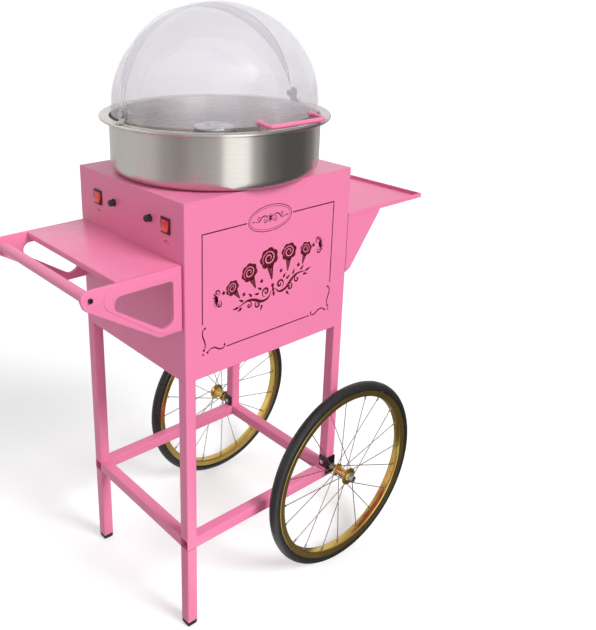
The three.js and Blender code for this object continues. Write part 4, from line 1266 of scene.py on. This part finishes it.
class Print:
    """Flat printed shapes on one face, drawn in that face's own tilted frame."""

    def __init__(self, face):
        self.bm = bmesh.new()
        self.face = PRINT_FACES[face]
        self.frame((0.0, 0.0), 0.0)

    def frame(self, origin, tilt, hand=1):
        self.origin = Vector(origin)
        self.turn = Matrix.Rotation(radians(tilt), 2)
        self.hand = hand

    def place(self, point, depth):
        here = self.origin + self.turn @ Vector((self.hand * point[0], point[1]))
        return self.face(here.x, here.y, depth)

    def ribbon(self, points, width, closed=False):
        """A stroke along the points. Width is a number, or says the width along the stroke."""
        points = [Vector(p) for p in points]
        count = len(points)
        rings = []
        for i, here in enumerate(points):
            before = points[i - 1] if i or closed else here
            after = points[(i + 1) % count] if i < count - 1 or closed else here
            along = (after - before).normalized()
            across = Vector((-along.y, along.x))
            wide = width(i / (count - 1)) if callable(width) else width
            wide = max(wide, 0.16) / 2
            ring = []
            for reach, depth in ((wide, -INK), (-wide, -INK), (-wide, SUNK), (wide, SUNK)):
                ring.append(self.bm.verts.new(self.place(here + across * reach, depth)))
            rings.append(ring)
        if closed:
            rings_to_faces(self.bm, rings, True)
        else:
            close_bar(self.bm, rings)

    def dot(self, u, v, radius):
        rings = []
        for depth in (-INK, SUNK):
            points = oval(u, v, radius, radius, 20)
            rings.append([self.bm.verts.new(self.place(point, depth)) for point in points])
        close_bar(self.bm, rings)

    def stroke(self, points, peak, ends=0.5):
        line = smooth_path([(u, v, 0) for u, v in points], 10)
        self.ribbon([(p.x, p.y) for p in line], bulge(peak, ends))

    def scroll(self, u, v, size, start, turns, peak):
        """A spiral stroke that swells in the middle and ends in a dot."""
        steps = int(40 * abs(turns)) + 12
        points = []
        for i in range(steps + 1):
            t = i / steps
            reach = size * (1 - 0.84 * t)
            angle = radians(start) + TAU * turns * t
            points.append((u + reach * cos(angle), v + reach * sin(angle)))
        self.ribbon(points, bulge(peak, 0.6))
        self.dot(*points[-1], size * 0.17)

    def leaf(self, u, v, angle, length, wide):
        """A pointed drop that grows from a point."""
        run = Vector((cos(radians(angle)), sin(radians(angle)))) * length
        line = [Vector((u, v)) + run * (i / 14) for i in range(15)]
        self.ribbon(line, lambda t: 0.3 + wide * sin(pi * t**0.6))

    def fill(self, outlines):
        """A filled shape: the first outline with the others left open in it."""
        shape = plate(outlines, -INK, SUNK, 0.0, "XY")
        for vert in shape.verts:
            vert.co = self.place((vert.co.x, vert.co.y), vert.co.z)
        merge(self.bm, shape)

    def finish(self, name):
        make_piece(name, self.bm, "cart", "ink")


def bulge(peak, ends):
    return lambda t: ends + (peak - ends) * sin(pi * t)


BORDER_LEFT, BORDER_RIGHT, BORDER_TOP, BORDER_BOTTOM = -180.5, 172.5, 903.5, 656.5
UPRIGHT_END = 720  # where the upright lines give way to scrolls
FLAT_END = 116
BORDER_LINE = 2.5
OVAL = {"centre": (-9, 903.5), "half": (57.5, 27.0)}
# Two scrolls for each lower corner: points and dots, as distances in from the border's line.
CORNER_SCROLLS = (
    (
        ((6, 712), (1, 707), (0.5, 696), (5, 684), (7, 673), (4, 664)),
        ((6.6, 711.0, 2.4), (3.6, 664.5, 2.6), (1.5, 656.0, 2.2)),
    ),
    (
        ((12, 657.5), (20, 663), (31, 663), (43, 656), (53, 656), (57, 661.5)),
        ((12.5, 657.5, 2.6), (55.5, 662.5, 2.4)),
    ),
)


def draw_border():
    ink = Print("front")
    centre_u, centre_v = OVAL["centre"]
    for edge, hand in ((BORDER_LEFT, -1), (BORDER_RIGHT, 1)):
        near = centre_u + hand * (OVAL["half"][0] + 4)
        far = edge - hand * BORDER_LINE / 2
        ink.ribbon([(near, BORDER_TOP), (far, BORDER_TOP)], BORDER_LINE)
        ink.ribbon([(edge, BORDER_TOP + BORDER_LINE / 2), (edge, UPRIGHT_END)], BORDER_LINE)
        for scroll, dots in CORNER_SCROLLS:
            ink.stroke([(edge - hand * inset, v) for inset, v in scroll], 3.2, 1.4)
            for inset, v, radius in dots:
                ink.dot(edge - hand * inset, v, radius)
    ink.ribbon([(-FLAT_END - 4, BORDER_BOTTOM), (FLAT_END - 4, BORDER_BOTTOM)], BORDER_LINE)
    for shrink, width in ((0.0, 1.5), (4.2, 0.8)):
        half_u, half_v = OVAL["half"][0] - shrink, OVAL["half"][1] - shrink
        ink.ribbon(oval(centre_u, centre_v, half_u, half_v, 72), width, closed=True)
    for hand in (1, -1):
        ink.frame((centre_u, centre_v), 0, hand)
        ink.stroke([(4, -2), (12, 6), (22, 5), (30, -3), (40, -2)], 2.6, 0.5)
        ink.scroll(12, -4, 6.5, 100, -1.1, 1.6)
        ink.scroll(30, 4, 5.0, 250, 1.0, 1.4)
        ink.leaf(41, -2, 10, 8, 2.2)
    ink.frame((centre_u, centre_v), 0)
    for angle in (45, 90, 135, 225, 270, 315):
        ink.leaf(0, 0, angle, 10, 2.4)
    ink.dot(0, 0, 2.2)
    ink.finish("front_border")


SQUASH = 0.92  # height of a cloud of floss against its width


def draw_floss(ink, origin, size, lean):
    """A cloud of floss on a paper cone, with the turns of the floss left open."""
    ink.frame(origin, lean)
    for shift, wide in ((-0.21, 0.2), (0.0, 0.16), (0.21, 0.2)):
        line = [(shift * size, -0.62 * size), (shift * 0.2 * size, -1.7 * size)]
        ink.ribbon(line, lambda t, wide=wide: wide * size * (1 - 0.8 * t))
    middle = 0.1 * size
    cloud = []
    for k in range(112):
        angle = TAU * k / 112
        reach = size * (0.8 + 0.13 * abs(sin(3.5 * angle + 0.4)))
        cloud.append((reach * cos(angle), SQUASH * reach * sin(angle) + middle))
    inner, outer = [], []
    steps = 60
    for k in range(steps + 1):
        t = k / steps
        angle = radians(205) - TAU * 1.75 * t
        half = 0.055 * size * sin(pi * (0.06 + 0.88 * t)) ** 0.5
        reach = size * (0.66 - 0.5 * t)
        for out, line in ((reach - half, inner), (reach + half, outer)):
            line.append((out * cos(angle), SQUASH * out * sin(angle) + middle))
    ink.fill([cloud, inner + outer[::-1]])


ART = {"centre": (-5.0, 792.0), "tilt": 10.5}
# Place, size and lean of each cloud of floss, then place and direction of each leaf.
BUNCH = (
    (0, 24, 27, 0), (-54, 16, 23, 14), (54, 16, 23, -14), (-101, 3, 18.5, 26), (101, 3, 18.5, -26),
)
LEAVES = (
    (30, -32, 40), (38, -38, 15), (57, -36, 55), (80, -36, 35), (86, -48, -20), (34, -66, -60),
)


def draw_centre():
    ink = Print("front")
    turn = Matrix.Rotation(radians(ART["tilt"]), 2)

    def spot_of(u, v):
        return Vector(ART["centre"]) + turn @ Vector((u, v))

    for u, v, size, lean in BUNCH:
        draw_floss(ink, spot_of(u, v), size, ART["tilt"] + lean)
    for hand in (1, -1):
        ink.frame(ART["centre"], ART["tilt"], hand)
        for u, v in ((27, -14), (76, -22), (124, 4)):
            for angle in (0, 72, 144, 216, 288):
                ink.leaf(u, v, angle + 18, 5.4, 2.9)
        ink.stroke([(5, -46), (16, -58), (34, -58), (52, -46), (70, -40), (96, -44)], 6.4, 1.2)
        ink.scroll(20, -42, 11, 285, 1.25, 5.0)
        ink.scroll(45, -60, 8.5, 110, -1.15, 4.2)
        ink.scroll(67, -51, 8.0, 80, 1.1, 4.0)
        for u, v, angle in LEAVES:
            ink.leaf(u, v, angle, 13, 5.2)
        ink.leaf(94, -44, 8, 16, 5.0)
        for angle, length in ((35, 15), (62, 19), (0, 12), (-35, 15), (-62, 19)):
            ink.leaf(140, -2, angle, length, 4.6)
        ink.scroll(139, 11, 7.5, 270, -1.1, 3.4)
        ink.scroll(139, -15, 7.5, 90, 1.1, 3.4)
    ink.frame(ART["centre"], ART["tilt"])
    ink.dot(0, -36, 4.2)
    for angle in (90, 270):
        ink.leaf(0, -50, angle, 13, 6.0)
    ink.finish("front_ornament")


def draw_switch_marks():
    """A small generic mark by each switch: a ring with a bar or a dot, between two dashes."""
    ink = Print("end")
    for (side, end), height in zip(ENDS, (884.0, 887.0)):
        ink.frame((middle_of(f"switch_bezel_{end}")[0].y, height), 0)
        ink.ribbon(oval(0, 0, 2.6, 2.6, 24), 0.8, closed=True)
        if side < 0:
            ink.ribbon([(0, 0.4), (0, 4.0)], 1.0)
        else:
            ink.dot(0, 0, 0.9)
        ink.ribbon([(-9, -0.6), (-4.6, -0.6)], 1.1)
        ink.ribbon([(4.6, -0.6), (9, -0.6)], 1.1)
    ink.finish("switch_marks")


draw_border()
draw_centre()
draw_switch_marks()
